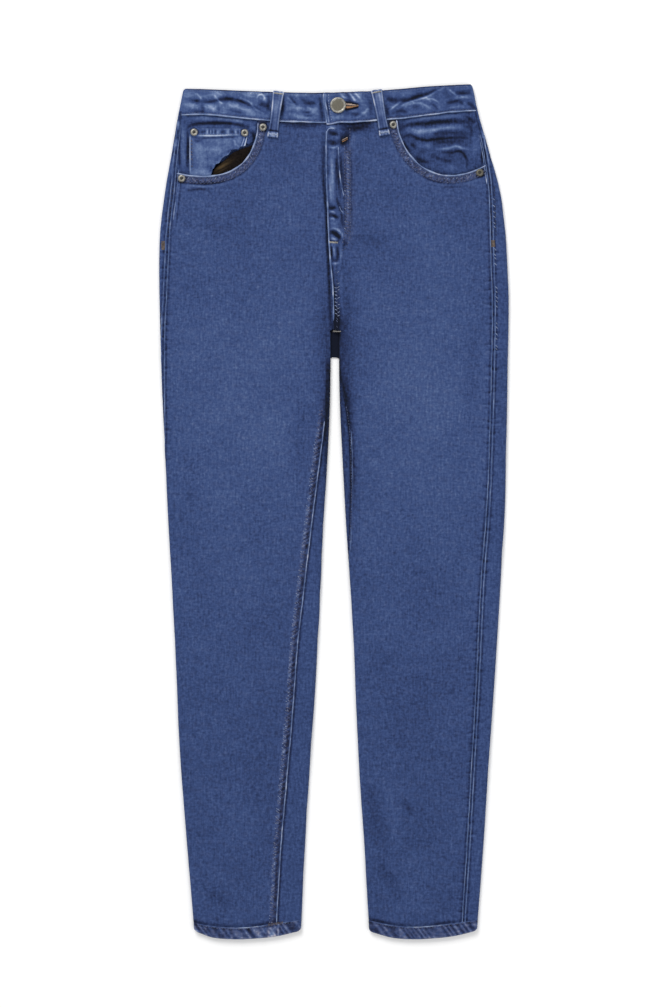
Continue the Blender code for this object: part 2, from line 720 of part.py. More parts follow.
def build_back(leg):
    side_ups = [YOKE_AT_SIDE - SEAM_GAP / 2] + down(HIP_ROWS, YOKE_AT_SIDE, FRONT_PARTS)
    side_ups += CROTCH_ROWS + LEG_ROWS
    side = seam_line(leg, leg.side_seam, outer_slot, side_ups, -SEAM_GAP / 2)
    top = along_yoke(leg, across(side[0][0], -INNER_FLAT), -SEAM_GAP / 2)
    centre = [(-INNER_FLAT, up) for up in down(HIP_ROWS, YOKE_AT_CENTRE, FRONT_PARTS)]
    centre += [(-INNER_FLAT, FRONT_PARTS)] + parting(BACK_PARTS, -1)
    inner = [(slot - ROUND, up) for slot, up in
             seam_line(leg, leg.inseam, inner_slot, [BACK_PARTS - 2] + LEG_ROWS, -SEAM_GAP / 2)]
    hem_up = high_edge(leg.hem, 0.5)
    first = inner_slot(leg, hem_up, read(leg.inseam, hem_up) - SEAM_GAP / 2) - ROUND
    last = outer_slot(leg, hem_up, read(leg.side_seam, hem_up) - SEAM_GAP / 2)
    hem = above_hem(leg, across(first, last))
    lines = []
    for away in (PATCH_MARGIN, PATCH_MARGIN + PATCH_RAMP):
        ring = grown(PATCH, away)
        lines.append([(flat_slot(leg, up, out, -1), up) for out, up in ring + ring[:1]])
    outline = top + centre + inner + hem + side[::-1][:-1]
    cloth("back_" + leg.name, leg, outline, HIP_ROWS + [FRONT_PARTS, BACK_PARTS - 2] + LEG_ROWS,
          lift=patch_lift, lines=lines)


def grown(outline, distance):
    """A convex outline, moved outwards and with its corners kept."""
    middle = [sum(p[axis] for p in outline) / len(outline) for axis in (0, 1)]
    ring = []
    count = len(outline)
    for k in range(count):
        ax, ay = outline[k - 1]
        x, y = outline[k]
        bx, by = outline[(k + 1) % count]
        before = Vector((y - ay, ax - x)).normalized()
        after = Vector((by - y, x - bx)).normalized()
        away = (before + after) / (1 + before.dot(after))
        if away.dot(Vector((x - middle[0], y - middle[1]))) < 0:
            away = -away
        ring.append((x + distance * away.x, y + distance * away.y))
    return ring


def build_yoke(leg):
    ups = [YOKE_AT_SIDE + SEAM_GAP / 2, YOKE_ROWS[0]]
    side = seam_line(leg, leg.side_seam, outer_slot, ups, -SEAM_GAP / 2)
    start = outer_slot(leg, YOKE_TOP_UP, read(leg.side_seam, YOKE_TOP_UP) - SEAM_GAP / 2)
    top = under_band(leg, across(start, -INNER_FLAT))
    low = along_yoke(leg, across(-INNER_FLAT, side[0][0]), SEAM_GAP / 2)
    outline = top + [(-INNER_FLAT, up) for up in YOKE_CENTRE_ROWS] + low + side[1:]
    cloth("yoke_" + leg.name, leg, outline, YOKE_ROWS)


def band_span(leg):
    """Where the flat of the waistband ends and its side fold begins."""
    return read(leg.outer, BAND_MIDDLE) - fold_radius(BAND_MIDDLE)


def band_stations(leg, end):
    """Places along one side of the band: from its end in front, round the side fold, to the centre back."""
    span = band_span(leg)
    front = [("front", end + (span - end) * k / BAND_FRONT_STEPS) for k in range(BAND_FRONT_STEPS + 1)]
    turn = [("turn", TURN - k) for k in range(1, 2 * TURN)]
    back = [("back", span * (1 - k / BAND_BACK_STEPS)) for k in range(BAND_BACK_STEPS)]
    return [(leg, face, value) for face, value in front + turn + back]


def band_point(leg, face, value, share, depth):
    """A point of the waistband, from its lower edge (share 0) to its upper edge (share 1)."""
    near = read(leg.outer, BAND_MIDDLE) if face == "turn" else value
    low = low_edge(leg.band, near) + SEAM_GAP / 2
    up = low + share * (high_edge(leg.band, near) - low)
    radius = fold_radius(up)
    middle = floor_at(up) + radius
    edge = read(leg.outer, up) - radius
    reach = radius - depth
    if face == "turn":
        angle = value / TURN * pi / 2
        return world(leg.side * (edge + reach * cos(angle)), up, middle + reach * sin(angle))
    span = band_span(leg)
    out = value + max(0.0, value) / span * (edge - span)
    if face == "back":
        return world(leg.side * out, up, middle - reach)
    ripple = BAND_RIPPLE * abs(sin(pi * BAND_RIPPLES * out / span + 2 * share)) * sin(pi * share)
    ripple *= smooth((span - out) / BAND_STILL) * smooth((out - RIPPLE_FROM) / BAND_STILL)
    z = middle + reach + ripple
    if leg is LEFT:
        z += BAND_LAP * min(1.0, max(0.0, (BAND_LAP_END - out) / (BAND_LAP_END - BAND_LAP_FULL)))
    return world(leg.side * out, up, z)


def build_band():
    """One doubled strip, from its right end under the back to its left end, which laps over the right one."""
    right = band_stations(RIGHT, -UNDERLAP)
    left = band_stations(LEFT, -OVERLAP)
    stations = right + [(LEFT, "back", 0.0)] + left[::-1]
    grids = []
    for depth in (0.0, BAND_CLOTH):
        grid = [[band_point(*station, share, depth) for station in stations] for share in BAND_SHARES]
        grids.append(grid)
    grid_solid("waistband", grids[0], grids[1], closed=False)


def build_hem(leg):
    slots = [k for k in range(-INNER_CREST, INNER_CREST)]
    grids = []
    for depth in (0.0, HEM_CLOTH):
        rows = []
        for share in (0.0, 0.5, 1.0):
            row = []
            for slot in slots:
                part = hem_share(slot)
                low = low_edge(leg.hem, part)
                up = low + share * (high_edge(leg.hem, part) - SEAM_GAP / 2 - low)
                row.append(hem_point(leg, up, slot, depth))
            rows.append(row)
        grids.append(rows)
    grid_solid("hem_" + leg.name, grids[0], grids[1], closed=True)


def hem_point(leg, up, slot, depth):
    """The hem is a little thicker than the leg, so it is a taller tube of the same outline."""
    face = 1 if slot >= 0 else -1
    along = abs(slot)
    radius = HEM_TOP / 2
    reach = radius - depth
    start = read(leg.outer, up) - radius
    end = read(leg.inner, up) + radius
    if along < TURN:
        angle = along / TURN * pi / 2
        out = start + reach * cos(angle)
        z = radius + face * reach * sin(angle)
    elif along <= INNER_FLAT:
        out = start + (along - TURN) / ACROSS * (end - start)
        z = radius + face * reach
    else:
        angle = (along - INNER_FLAT) / TURN * pi / 2
        out = end - reach * sin(angle)
        z = radius + face * reach * cos(angle)
    return world(leg.side * out, up, z)


# Pocket pieces


def facing_depth(leg):
    def depth(out, up):
        seam_out, _ = place_on(leg, up, outer_slot(leg, up, read(leg.side_seam, up)), 0.0)
        return FACING_DEPTH * smooth((seam_out - out) / FACING_RAMP)

    return depth


def build_facing(leg, low_line, folds):
    """The facing runs from the side seam to under the front panel's pocket edge."""
    curve = pocket_curve(leg)
    corner = [point for point in moved_along_normal(curve, -CLEAR) if point[0] > low_line[-1][0] + 1]
    side_ups = [corner[-1][1] + 1.0] + FACING_SIDE_ROWS
    side = seam_line(leg, leg.side_seam, outer_slot, side_ups, SEAM_GAP / 2)
    start = outer_slot(leg, FACING_TOP_UP, read(leg.side_seam, FACING_TOP_UP) + SEAM_GAP / 2)
    end = flat_slot(leg, FRONT_TOP_UP + 2, low_line[0][0], 1)
    count = FACING_TOP_POINTS
    top = under_band(leg, [start + (end - start) * k / count for k in range(count + 1)])
    low = [(flat_slot(leg, up, out, 1), up) for out, up in low_line + corner[:-1]]
    ridges = fold_lines(leg, folds)
    for away in (FACING_RAMP / 2, FACING_RAMP):
        ridges.append(seam_line(leg, leg.side_seam, outer_slot, RAMP_ROWS, away))

    def lift(out, up, slot):
        return fold_lift(folds, out, up)

    cloth("pocket_facing_" + leg.name, leg, top + low + side, FACING_ROWS, depth=facing_depth(leg),
          wall=FACING_CLOTH, lift=lift, lines=ridges, slot_step=0.5)


def build_coin():
    outline = [(flat_slot(RIGHT, up, out, 1), up) for out, up in COIN]
    cloth("coin_pocket", RIGHT, outline, COIN_ROWS, depth=COIN_DEPTH, wall=FACING_CLOTH, slot_step=0.5)


def build_bag():
    """The pocket bag shows dark in the gap below the coin pocket and sinks away towards its lower end."""
    outline = [(flat_slot(RIGHT, up, out, 1), up) for out, up in BAG]
    top_end = BAG[1][1]

    def depth(out, up):
        return top_at(up) - BAG_TOP + BAG_DROP * smooth((top_end - up) / BAG_DROP_LENGTH)

    cloth("pocket_bag_right", RIGHT, outline, BAG_ROWS, depth=depth, wall=FACING_CLOTH,
          material=BAG_BROWN, slot_step=0.5)


def flat_plate(name, outline, z_low, z_high, material=DENIM_BLUE):
    shape = bmesh.new()
    low = [shape.verts.new(world(x, up, z_low)) for x, up in outline]
    high = [shape.verts.new(world(x, up, z_high)) for x, up in outline]
    shape.faces.new(low)
    shape.faces.new(high)
    count = len(outline)
    for k in range(count):
        after = (k + 1) % count
        shape.faces.new([low[k], low[after], high[after], high[k]])
    return add_object(name, shape, material)


def build_front_loop(loop):
    """A strip bowed over the waistband: its head turns over the upper edge, its foot lies below the seam."""
    axis = Vector((loop.foot_x - loop.top_x, loop.foot_up - loop.top_up))
    length = axis.length
    axis.normalize()
    side = Vector((-axis.y, axis.x)) * LOOP_WIDTH / 2
    level = HIP_TOP + CLEAR
    # The inner face, as distances down from the head and heights
    path = [(step.along, level + step.height) for step in LOOP_BOW]
    path += [(length - LOOP_FOOT, level + LOOP_FOOT_HEIGHT), (length, level + LOOP_FOOT_HEIGHT)]
    grids = []
    for k, thickness in enumerate((LOOP_CLOTH, 0.0)):
        rows = []
        for edge in (-1, 0, 1):
            row = []
            for j, (along, height) in enumerate(path):
                ax, ay = path[max(0, j - 1)]
                bx, by = path[min(len(path) - 1, j + 1)]
                size = hypot(bx - ax, by - ay)
                away = thickness / size
                s = along - away * (by - ay)
                z = height + away * (bx - ax)
                spot = Vector((loop.top_x, loop.top_up)) + axis * s + side * edge
                row.append(world(spot.x, spot.y, z))
            rows.append(row)
        grids.append(rows)
    grid_solid(loop.name, grids[0], grids[1], closed=False)


def build_back_loop(loop):
    half = LOOP_WIDTH / 2
    outline = [(loop.top_x - half, loop.foot_up), (loop.top_x + half, loop.foot_up),
               (loop.top_x + half, loop.top_up), (loop.top_x - half, loop.top_up)]
    flat_plate(loop.name, outline, 0.0, PATCH_CLOTH)


def build_rivet(rivet):
    place = world(rivet.leg.side * rivet.out, rivet.up, rivet.base + CLEAR)
    turned(rivet.name, RIVET_PROFILE, RIVET_RADIUS, place, RIVET_SIDES)


def build_button():
    x, up = BUTTON_PLACE
    place = world(x, up, HIP_TOP + BAND_LAP + CLEAR)
    turned("button", BUTTON_PROFILE, BUTTON_RADIUS, place, BUTTON_SIDES)


def build():
    clear_scene()
    for leg, folds in ((RIGHT, RIGHT_FRONT_FOLDS), (LEFT, LEFT_FRONT_FOLDS)):
        build_front(leg, folds)
        build_back(leg)
        build_yoke(leg)
        build_hem(leg)
        patch = [(leg.side * out, up) for out, up in PATCH]
        flat_plate("back_pocket_" + leg.name, patch, 0.0, PATCH_CLOTH)
    build_band()
    build_facing(RIGHT, RIGHT_FACING_LOW, [])
    build_facing(LEFT, LEFT_FACING_LOW, LEFT_FACING_FOLDS)
    build_coin()
    build_bag()
    for loop in FRONT_LOOPS:
        build_front_loop(loop)
    for loop in BACK_LOOPS:
        build_back_loop(loop)
    for rivet in RIVETS:
        build_rivet(rivet)
    build_button()


build()
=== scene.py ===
from collections import namedtuple
from math import pi

import bpy
import numpy as np
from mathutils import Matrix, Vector


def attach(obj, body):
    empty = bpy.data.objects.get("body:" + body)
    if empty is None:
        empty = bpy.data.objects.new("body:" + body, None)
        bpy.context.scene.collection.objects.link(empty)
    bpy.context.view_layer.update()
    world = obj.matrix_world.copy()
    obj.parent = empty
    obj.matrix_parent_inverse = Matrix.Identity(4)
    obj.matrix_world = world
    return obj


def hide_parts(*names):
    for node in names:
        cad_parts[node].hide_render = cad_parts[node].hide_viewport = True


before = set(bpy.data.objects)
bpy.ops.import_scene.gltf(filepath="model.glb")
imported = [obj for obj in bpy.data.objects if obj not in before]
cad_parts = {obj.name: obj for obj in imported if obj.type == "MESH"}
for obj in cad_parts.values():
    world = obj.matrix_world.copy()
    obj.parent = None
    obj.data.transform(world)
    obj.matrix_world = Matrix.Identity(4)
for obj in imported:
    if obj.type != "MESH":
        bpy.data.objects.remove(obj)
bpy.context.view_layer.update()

MM = 0.001
LENGTH = 1026.5

# The photo's size in pixels, millimetres a pixel, the centre line's column and the lowest point's row
PHOTO_SIZE = (672.0, 1008.0)
PIXEL = 1.2
CENTRE_PIXEL = 334.2
FOOT_PIXEL = 939.4

# Sizes that the solids have
FRONT_TOP = 6.4
HIP_TOP = 6.5
HEM_TOP = 7.2
LOOP_RAISE = 1.5
RAISE_FROM = 935.0
RAISE_TO = 962.0
FRONT_PARTS = 729.0
BACK_PARTS = 697.0
BACK_CENTRE = 0.15
LAP = 1.7
BAND_LAP = 2.3
WALL = 1.1
BAND_WALL = 1.6

# Tables of a leg: (up, distance from the centre line) for its outer and inner outline and the front's edge,
# (up, distance along the cloth) for its seams, (distance from the centre line, up) for the waistband,
# (share across, up) for the hem, and the control points of the pocket opening
LegForm = namedtuple("LegForm", "name side outer inner front_edge side_seam inseam band_low band_high "
                     "hem_low hem_high pocket")

RIGHT = LegForm(
    "right", -1,
    [(1022, 180.6), (990, 187.2), (947, 194.6), (899, 203.0), (851, 209.0), (815, 210.2), (767, 209.8),
     (695, 207.8),
     (611, 204.2), (515, 200.0), (419, 194.6), (323, 189.8), (227, 185.6), (131, 178.2), (11, 168.2)],
    [(729, 4.4), (690, 4.4), (636, 5.3), (567, 8.6), (495, 13.2), (419, 16.4), (354, 19.6), (278, 24.2),
     (191, 30.2),
     (108, 35.2), (11, 39.8)],
    [(982, -2.0), (790, -2.0), (750, 0.5), (731, 2.5)],
    [(1000, 5), (947, 8), (905, 12), (837, 13), (782, 10.5), (731, 7), (660, 4), (600, 1.5), (520, -6),
     (354, -15), (191, -20),
     (11, -24)],
    [(729, -0.8), (690, -0.8), (636, 5.5), (567, 11), (495, 15.5), (431, 20.4), (354, 25.5), (278, 26.5),
     (191, 28),
     (108, 30.2), (11, 31)],
    [(-26, 980.2), (0, 980.0), (30, 980.4), (75, 982.0), (122, 986.6), (160, 989.8), (190, 988.4)],
    [(-26, 1016.4), (0, 1015.9), (30, 1016.0), (75, 1016.9), (122, 1018.8), (160, 1020.4), (190, 1021.0)],
    [(0.0, 9.0), (0.15, 2.4), (0.35, 0.2), (0.55, 0.8), (0.78, 3.6), (1.0, 9.6)],
    [(0.0, 19.4), (0.15, 16.0), (0.35, 14.2), (0.55, 15.2), (0.78, 19.4), (1.0, 23.2)],
    [(91.7, 979.5), (93.8, 935.3), (120.6, 905.0), (188.5, 919.5)],
)
LEFT = LegForm(
    "left", 1,
    [(1027, 165.6), (990, 173.4), (947, 185.8), (899, 199.0), (851, 205.4), (800, 208.6), (767, 209.8),
     (695, 208.8),
     (611, 207.4), (515, 205.0), (419, 199.4), (323, 193.4), (227, 187.0), (131, 180.6), (11, 171.6)],
    [(729, 6.2), (690, 5.8), (636, 7.0), (567, 10.4), (495, 14.4), (419, 19.6), (354, 23.4), (278, 26.4),
     (191, 30.8),
     (108, 36.4), (11, 41.8)],
    [(982, -9.8), (937, -10.4), (890, -9.0), (844, -7.2), (814, -5.3), (789, -2.9), (758, -1.4),
     (731, -2.2)],
    [(1000, 5), (965, 6), (925, 11), (880, 17), (815, 21), (700, 21), (560, 22.5), (431, 25), (300, 23),
     (191, 22),
     (11, 20)],
    [(729, -0.8), (690, -0.8), (640, 8), (605, 11), (564, 10.2), (533, 9), (495, 5.8), (456, 0),
     (347, -11), (191, -20),
     (11, -27)],
    [(-12, 980.2), (0, 980.0), (24, 980.2), (50, 982.6), (82, 985.2), (113, 989.0), (145, 992.8),
     (176, 994.6)],
    [(-12, 1015.8), (0, 1015.9), (24, 1016.8), (50, 1018.2), (82, 1020.6), (113, 1023.4), (145, 1025.2),
     (176, 1026.5)],
    [(0.0, 9.6), (0.2, 4.0), (0.4, 1.2), (0.6, 0.2), (0.8, 2.0), (1.0, 8.6)],
    [(0.0, 23.0), (0.2, 19.6), (0.4, 16.6), (0.6, 15.2), (0.8, 17.0), (1.0, 22.2)],
    [(75.4, 983.1), (77.8, 943.5), (117.0, 893.0), (181.5, 929.0)],
)
LEGS = (RIGHT, LEFT)


def read(rows, at):
    """The values of a table at places: smooth between its rows, and held past its ends."""
    rows = sorted(rows)
    places = np.array([row[0] for row in rows], float)
    values = np.array([row[1] for row in rows], float)
    slopes = np.empty_like(values)
    slopes[0] = (values[1] - values[0]) / (places[1] - places[0])
    slopes[-1] = (values[-1] - values[-2]) / (places[-1] - places[-2])
    slopes[1:-1] = (values[2:] - values[:-2]) / (places[2:] - places[:-2])
    at = np.clip(at, places[0], places[-1])
    k = np.clip(np.searchsorted(places, at, side="right") - 1, 0, len(places) - 2)
    step = places[k + 1] - places[k]
    s = (at - places[k]) / step
    start = (1 + 2 * s) * (1 - s) ** 2 * values[k] + s * (1 - s) ** 2 * step * slopes[k]
    return start + s * s * (3 - 2 * s) * values[k + 1] + s * s * (s - 1) * step * slopes[k + 1]


def soft(s):
    """0 to 1 with soft ends."""
    s = np.clip(s, 0.0, 1.0)
    return s * s * (3 - 2 * s)


def spot(points):
    """Places in the photo's pixels as (x, up) in millimetres."""
    points = np.asarray(points, float)
    return np.stack([(points[:, 0] - CENTRE_PIXEL) * PIXEL, (FOOT_PIXEL - points[:, 1]) * PIXEL], 1)


def photo_column(x):
    return x / PIXEL + CENTRE_PIXEL


def photo_row(up):
    return FOOT_PIXEL - up / PIXEL


def bell(gap, width):
    """1 where the gap is nothing, and near 0 from about twice the width on."""
    return np.exp(-(gap / width) ** 2)


def edge_drop(gap, radius):
    """How far a rounded edge has fallen at a gap from its rim, as a share from 1 at the rim to 0."""
    return 1 - np.sqrt(1 - np.clip(1 - gap / radius, 0, 1) ** 2)


def wander(x, y, size, seed, waves=7):
    """Smooth seeded noise of about that size, roughly from -1 to 1."""
    draw = np.random.default_rng(seed)
    total = np.zeros(np.broadcast(x, y).shape)
    for _ in range(waves):
        turn = draw.uniform(0, 2 * pi)
        wave = 2 * pi / (size * draw.uniform(0.6, 1.7))
        total += np.sin(wave * (x * np.cos(turn) + y * np.sin(turn)) + draw.uniform(0, 2 * pi))
    return total / np.sqrt(waves)


def wander_along(at, size, seed):
    return wander(at, 0 * at, size, seed)


def run_along(line):
    """The distance from the start of a line in (x, y) to each of its points."""
    return np.concatenate([[0], np.cumsum(np.hypot(*np.diff(line, axis=0).T))])


def directions(line):
    step = np.gradient(line, axis=0)
    return step / np.linalg.norm(step, axis=1, keepdims=True)


def upward(count):
    return np.tile((0.0, 0.0, 1.0), (count, 1))


def height_at(height, points):
    """The heights of points of (x, up), where height is a number or a function of x and up."""
    return height(points[:, 0], points[:, 1]) if callable(height) else np.full(len(points), float(height))


# The form that all the cloth lies on


def floor_at(up):
    return LOOP_RAISE * soft((up - RAISE_FROM) / (RAISE_TO - RAISE_FROM))


def top_at(up):
    return FRONT_TOP + (HIP_TOP - FRONT_TOP) * soft((up - RAISE_FROM) / (RAISE_TO - RAISE_FROM))


def fold_radius(up):
    return (top_at(up) - floor_at(up)) / 2


def open_share(up, parts):
    """0 where a panel ends at the centre line, 1 where it has left it and turns round the inner fold."""
    return soft((parts + 3 - up) / 4.5)


def flat_end(leg, up, front):
    centre = read(leg.front_edge, up) if front else BACK_CENTRE
    share = open_share(up, FRONT_PARTS if front else BACK_PARTS)
    return centre + share * (read(leg.inner, up) + fold_radius(up) - centre)


def half_round(leg, up, front):
    """Distance along the cloth from the outer crest to the inner one, over the front or the back."""
    radius = fold_radius(up)
    return pi * radius + read(leg.outer, up) - radius - flat_end(leg, up, front)


def place(leg, a, up):
    """(x, z, normal x, normal z) of places on a leg's form."""
    radius = fold_radius(up)
    middle = floor_at(up) + radius
    start = read(leg.outer, up) - radius
    inner = read(leg.inner, up) + radius
    width = half_round(leg, up, True)
    back_width = half_round(leg, up, False)
    over = a > width
    under = a < -back_width
    a = np.where(over, a - width - back_width, np.where(under, a + width + back_width, a))
    face = np.where(a >= 0, 1.0, -1.0)
    along = np.abs(a)
    quarter = pi * radius / 2
    end = np.where(face > 0, flat_end(leg, up, True), flat_end(leg, up, False))
    flat = start - end
    angle = along / radius
    inner_angle = (along - quarter - flat) / radius
    on_outer = along <= quarter
    on_flat = (along > quarter) & (along <= quarter + flat)
    out = np.where(on_outer, start + radius * np.cos(angle),
                   np.where(on_flat, start - (along - quarter), inner - radius * np.sin(inner_angle)))
    z = np.where(on_outer, middle + face * radius * np.sin(angle),
                 np.where(on_flat, middle + face * radius, middle + face * radius * np.cos(inner_angle)))
    nx = np.where(on_outer, np.cos(angle), np.where(on_flat, 0.0, -np.sin(inner_angle)))
    nz = np.where(on_outer, face * np.sin(angle), np.where(on_flat, face, face * np.cos(inner_angle)))
    return leg.side * out, z, leg.side * nx, nz


def side_at(leg, up):
    return read(leg.side_seam, up)


def inseam_at(leg, up):
    """The inseam's or the centre line's place on the front, by its distance along the cloth."""
    share = open_share(up, FRONT_PARTS)
    centre = half_round(leg, up, True) - pi * fold_radius(up) / 2
    return centre + share * (half_round(leg, up, True) - read(leg.inseam, up) - centre)


def a_of(leg, x, up):
    """The place along the cloth of a point on the flat front."""
    radius = fold_radius(up)
    return pi * radius / 2 + read(leg.outer, up) - radius - leg.side * x


# Relief: each row raises the cloth along a line and colours it: paler on ridges as worn indigo, darker in
# troughs as painted shade

FAR = 1e9


def along_line(line, x, y, reach):
    """(indices, distance along, distance from) for the places within reach of a line."""
    low = line.min(0) - reach
    high = line.max(0) + reach
    near = np.flatnonzero((x > low[0]) & (x < high[0]) & (y > low[1]) & (y < high[1]))
    px, py = x[near], y[near]
    best = np.full(len(near), FAR)
    at, side = np.zeros(len(near)), np.zeros(len(near))
    done = 0.0
    for (ax, ay), (bx, by) in zip(line[:-1], line[1:]):
        dx, dy = bx - ax, by - ay
        length = np.hypot(dx, dy)
        s = np.clip(((px - ax) * dx + (py - ay) * dy) / length ** 2, 0, 1)
        gap = np.hypot(px - ax - s * dx, py - ay - s * dy)
        turn = np.sign((py - ay) * dx - (px - ax) * dy)
        closer = gap < best
        best = np.where(closer, gap, best)
        at = np.where(closer, done + s * length, at)
        side = np.where(closer, turn, side)
        done += length
    keep = best < reach
    return near[keep], at[keep], (best * side)[keep], done


def curve(points, steps=6):
    """A smooth line through points."""
    points = np.asarray(points, float)
    knots = np.arange(len(points))
    fine = np.linspace(0, len(points) - 1, (len(points) - 1) * steps + 1)
    if len(points) < 3:
        return np.stack([np.interp(fine, knots, points[:, axis]) for axis in (0, 1)], 1)
    return np.stack([read(list(zip(knots, points[:, axis])), fine) for axis in (0, 1)], 1)


def raise_along(line, x, y, width, height, tone, lift, shade):
    """A ridge, or a trough where height is below 0, with thin ends. A positive tone pales it as worn indigo,
    a negative one darkens it as painted shade.
    """
    near, at, away, length = along_line(line, x, y, 2.6 * width)
    shape = bell(away, width) * np.sin(pi * np.clip(at / length, 0, 1)) ** 0.6
    lift[near] += height * shape
    shade[near] += tone * shape


def add_creases(rows, x, up, lift, shade, strength=1.0):
    """Each row of a crease table is (half width, height, tone, photo pixels that the crease runs through).
    The tone pales ridges as worn indigo and darkens troughs as painted shade.
    """
    for width, height, tone, *points in rows:
        raise_along(curve(spot(points)), x, up, width, height, strength * tone, lift, shade)


def pucker_along(line, x, y, lift, shade, seed, pitch, reach, height, tone, slant=0.6, offset=0.0):
    """Roping: uneven ridges that cross a seam, strongest near it, paler on the ridges as worn indigo and
    darker between them, partly as painted shade.
    """
    near, at, away, length = along_line(line, x, y, reach * 1.6)
    away = away - offset
    phase = at + slant * away
    beat = phase / pitch + 0.55 * wander_along(phase, pitch * 4.5, seed)
    strength = 0.35 + 0.65 * soft(0.5 + 0.6 * wander_along(phase, pitch * 5.0, seed + 1))
    fade = np.exp(-(away / reach) ** 2 * 2.0) * soft(at / 8) * soft((length - at) / 8)
    wave = np.sin(2 * pi * beat)
    lift[near] += height * wave * strength * fade
    shade[near] += tone * wave * strength * fade


def tucks(at, away, seed, spacing, reach, width=1.2):
    """Short uneven tucks that run off a seam: above 0 in the trough, and below 0 on the ridge beside it."""
    draw = np.random.default_rng(seed)
    total = np.zeros(len(at))
    spot_at = 0.0
    while spot_at < 1000:
        spot_at += spacing * draw.uniform(0.45, 1.7)
        size, slope, length = draw.uniform(0.35, 1.0), draw.uniform(-0.3, 0.3), reach * draw.uniform(0.5, 1.3)
        row = at - spot_at - slope * away
        shape = bell(row, width) - 0.55 * bell(row + 2.2 * width, (1.2 * width))
        total += size * shape * bell(away, length)
    return total


def painted_rivet_shadow(x, up):
    """Painted shadow: the cloth is darkened in a ring where it dips under the rim of a rivet."""
    gaps = [np.hypot(x - rivet[0], up - rivet[1]) - 5.2 for rivet in RIVETS.values()]
    return -0.42 * bell(np.minimum.reduce(gaps), 1.3)


# Making meshes

jeans = bpy.data.collections.new("dressed_jeans")
bpy.context.scene.collection.children.link(jeans)


def add_piece(name, points, faces, material, tone=0.0, wall=0.0, nodes=(), grey=0.0):
    mesh = bpy.data.meshes.new(name)
    shifted = (np.asarray(points) - (0, LENGTH / 2, 0)) * MM
    mesh.from_pydata(shifted.tolist(), [], [tuple(int(k) for k in face) for face in faces])
    for kind, values in (("tone", tone), ("grey", grey)):
        held = mesh.attributes.new(kind, "FLOAT", "POINT")
        held.data.foreach_set("value", np.broadcast_to(np.ravel(values), len(shifted)).astype(float))
    mesh.materials.append(material)
    mesh.shade_smooth()
    made = bpy.data.objects.new(name, mesh)
    jeans.objects.link(made)
    if wall:
        solid = made.modifiers.new("wall", "SOLIDIFY")
        solid.thickness = wall * MM
        solid.offset = -1
    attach(made, "root")
    if nodes:
        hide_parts(*nodes)
    return made


def grid_faces(rows, columns, keep=None):
    """Quads of a grid whose points are numbered row by row."""
    i, j = np.meshgrid(np.arange(rows - 1), np.arange(columns - 1), indexing="ij")
    k = (i * columns + j).ravel()
    faces = np.stack([k, k + 1, k + columns + 1, k + columns], 1)
    return faces if keep is None else faces[keep.ravel()]


def drop_loose(points, faces, *others):
    """Only the points that faces use."""
    used = np.unique(faces)
    number = np.full(len(points), -1)
    number[used] = np.arange(len(used))
    return [points[used], number[faces]] + [other[used] for other in others]


def facing_out(points, faces, normals):
    """Turns all faces over if they point away from the normals."""
    a, b, c = points[faces[:, 0]], points[faces[:, 1]], points[faces[:, 2]]
    agree = (np.cross(b - a, c - a) * normals[faces[:, 0]]).sum()
    return faces if agree >= 0 else faces[:, ::-1]


# Materials


def new_material(name):
    material = bpy.data.materials.new(name)
    material.use_nodes = True
    return material, material.node_tree


def set_sockets(tree, made, sockets):
    """Each socket has a constant, or is linked to another node's output."""
    for key, value in sockets.items():
        if isinstance(value, bpy.types.NodeSocket):
            tree.links.new(value, made.inputs[key])
        else:
            made.inputs[key].default_value = value


def add_node(tree, kind, sockets, **settings):
    made = tree.nodes.new("ShaderNode" + kind)
    for key, value in settings.items():
        setattr(made, key, value)
    set_sockets(tree, made, sockets)
    return made


# The indigo from unworn to bare, whose darkest stops also serve painted shade: place on the ramp and colour
WASH = [(0.0, (0.003, 0.005, 0.014)), (0.25, (0.013, 0.023, 0.074)), (0.40, (0.026, 0.047, 0.134)),
        (0.50, (0.0365, 0.0650, 0.180)), (0.62, (0.056, 0.092, 0.218)), (0.75, (0.105, 0.157, 0.305)),
        (0.88, (0.200, 0.262, 0.430)), (1.0, (0.400, 0.460, 0.590))]


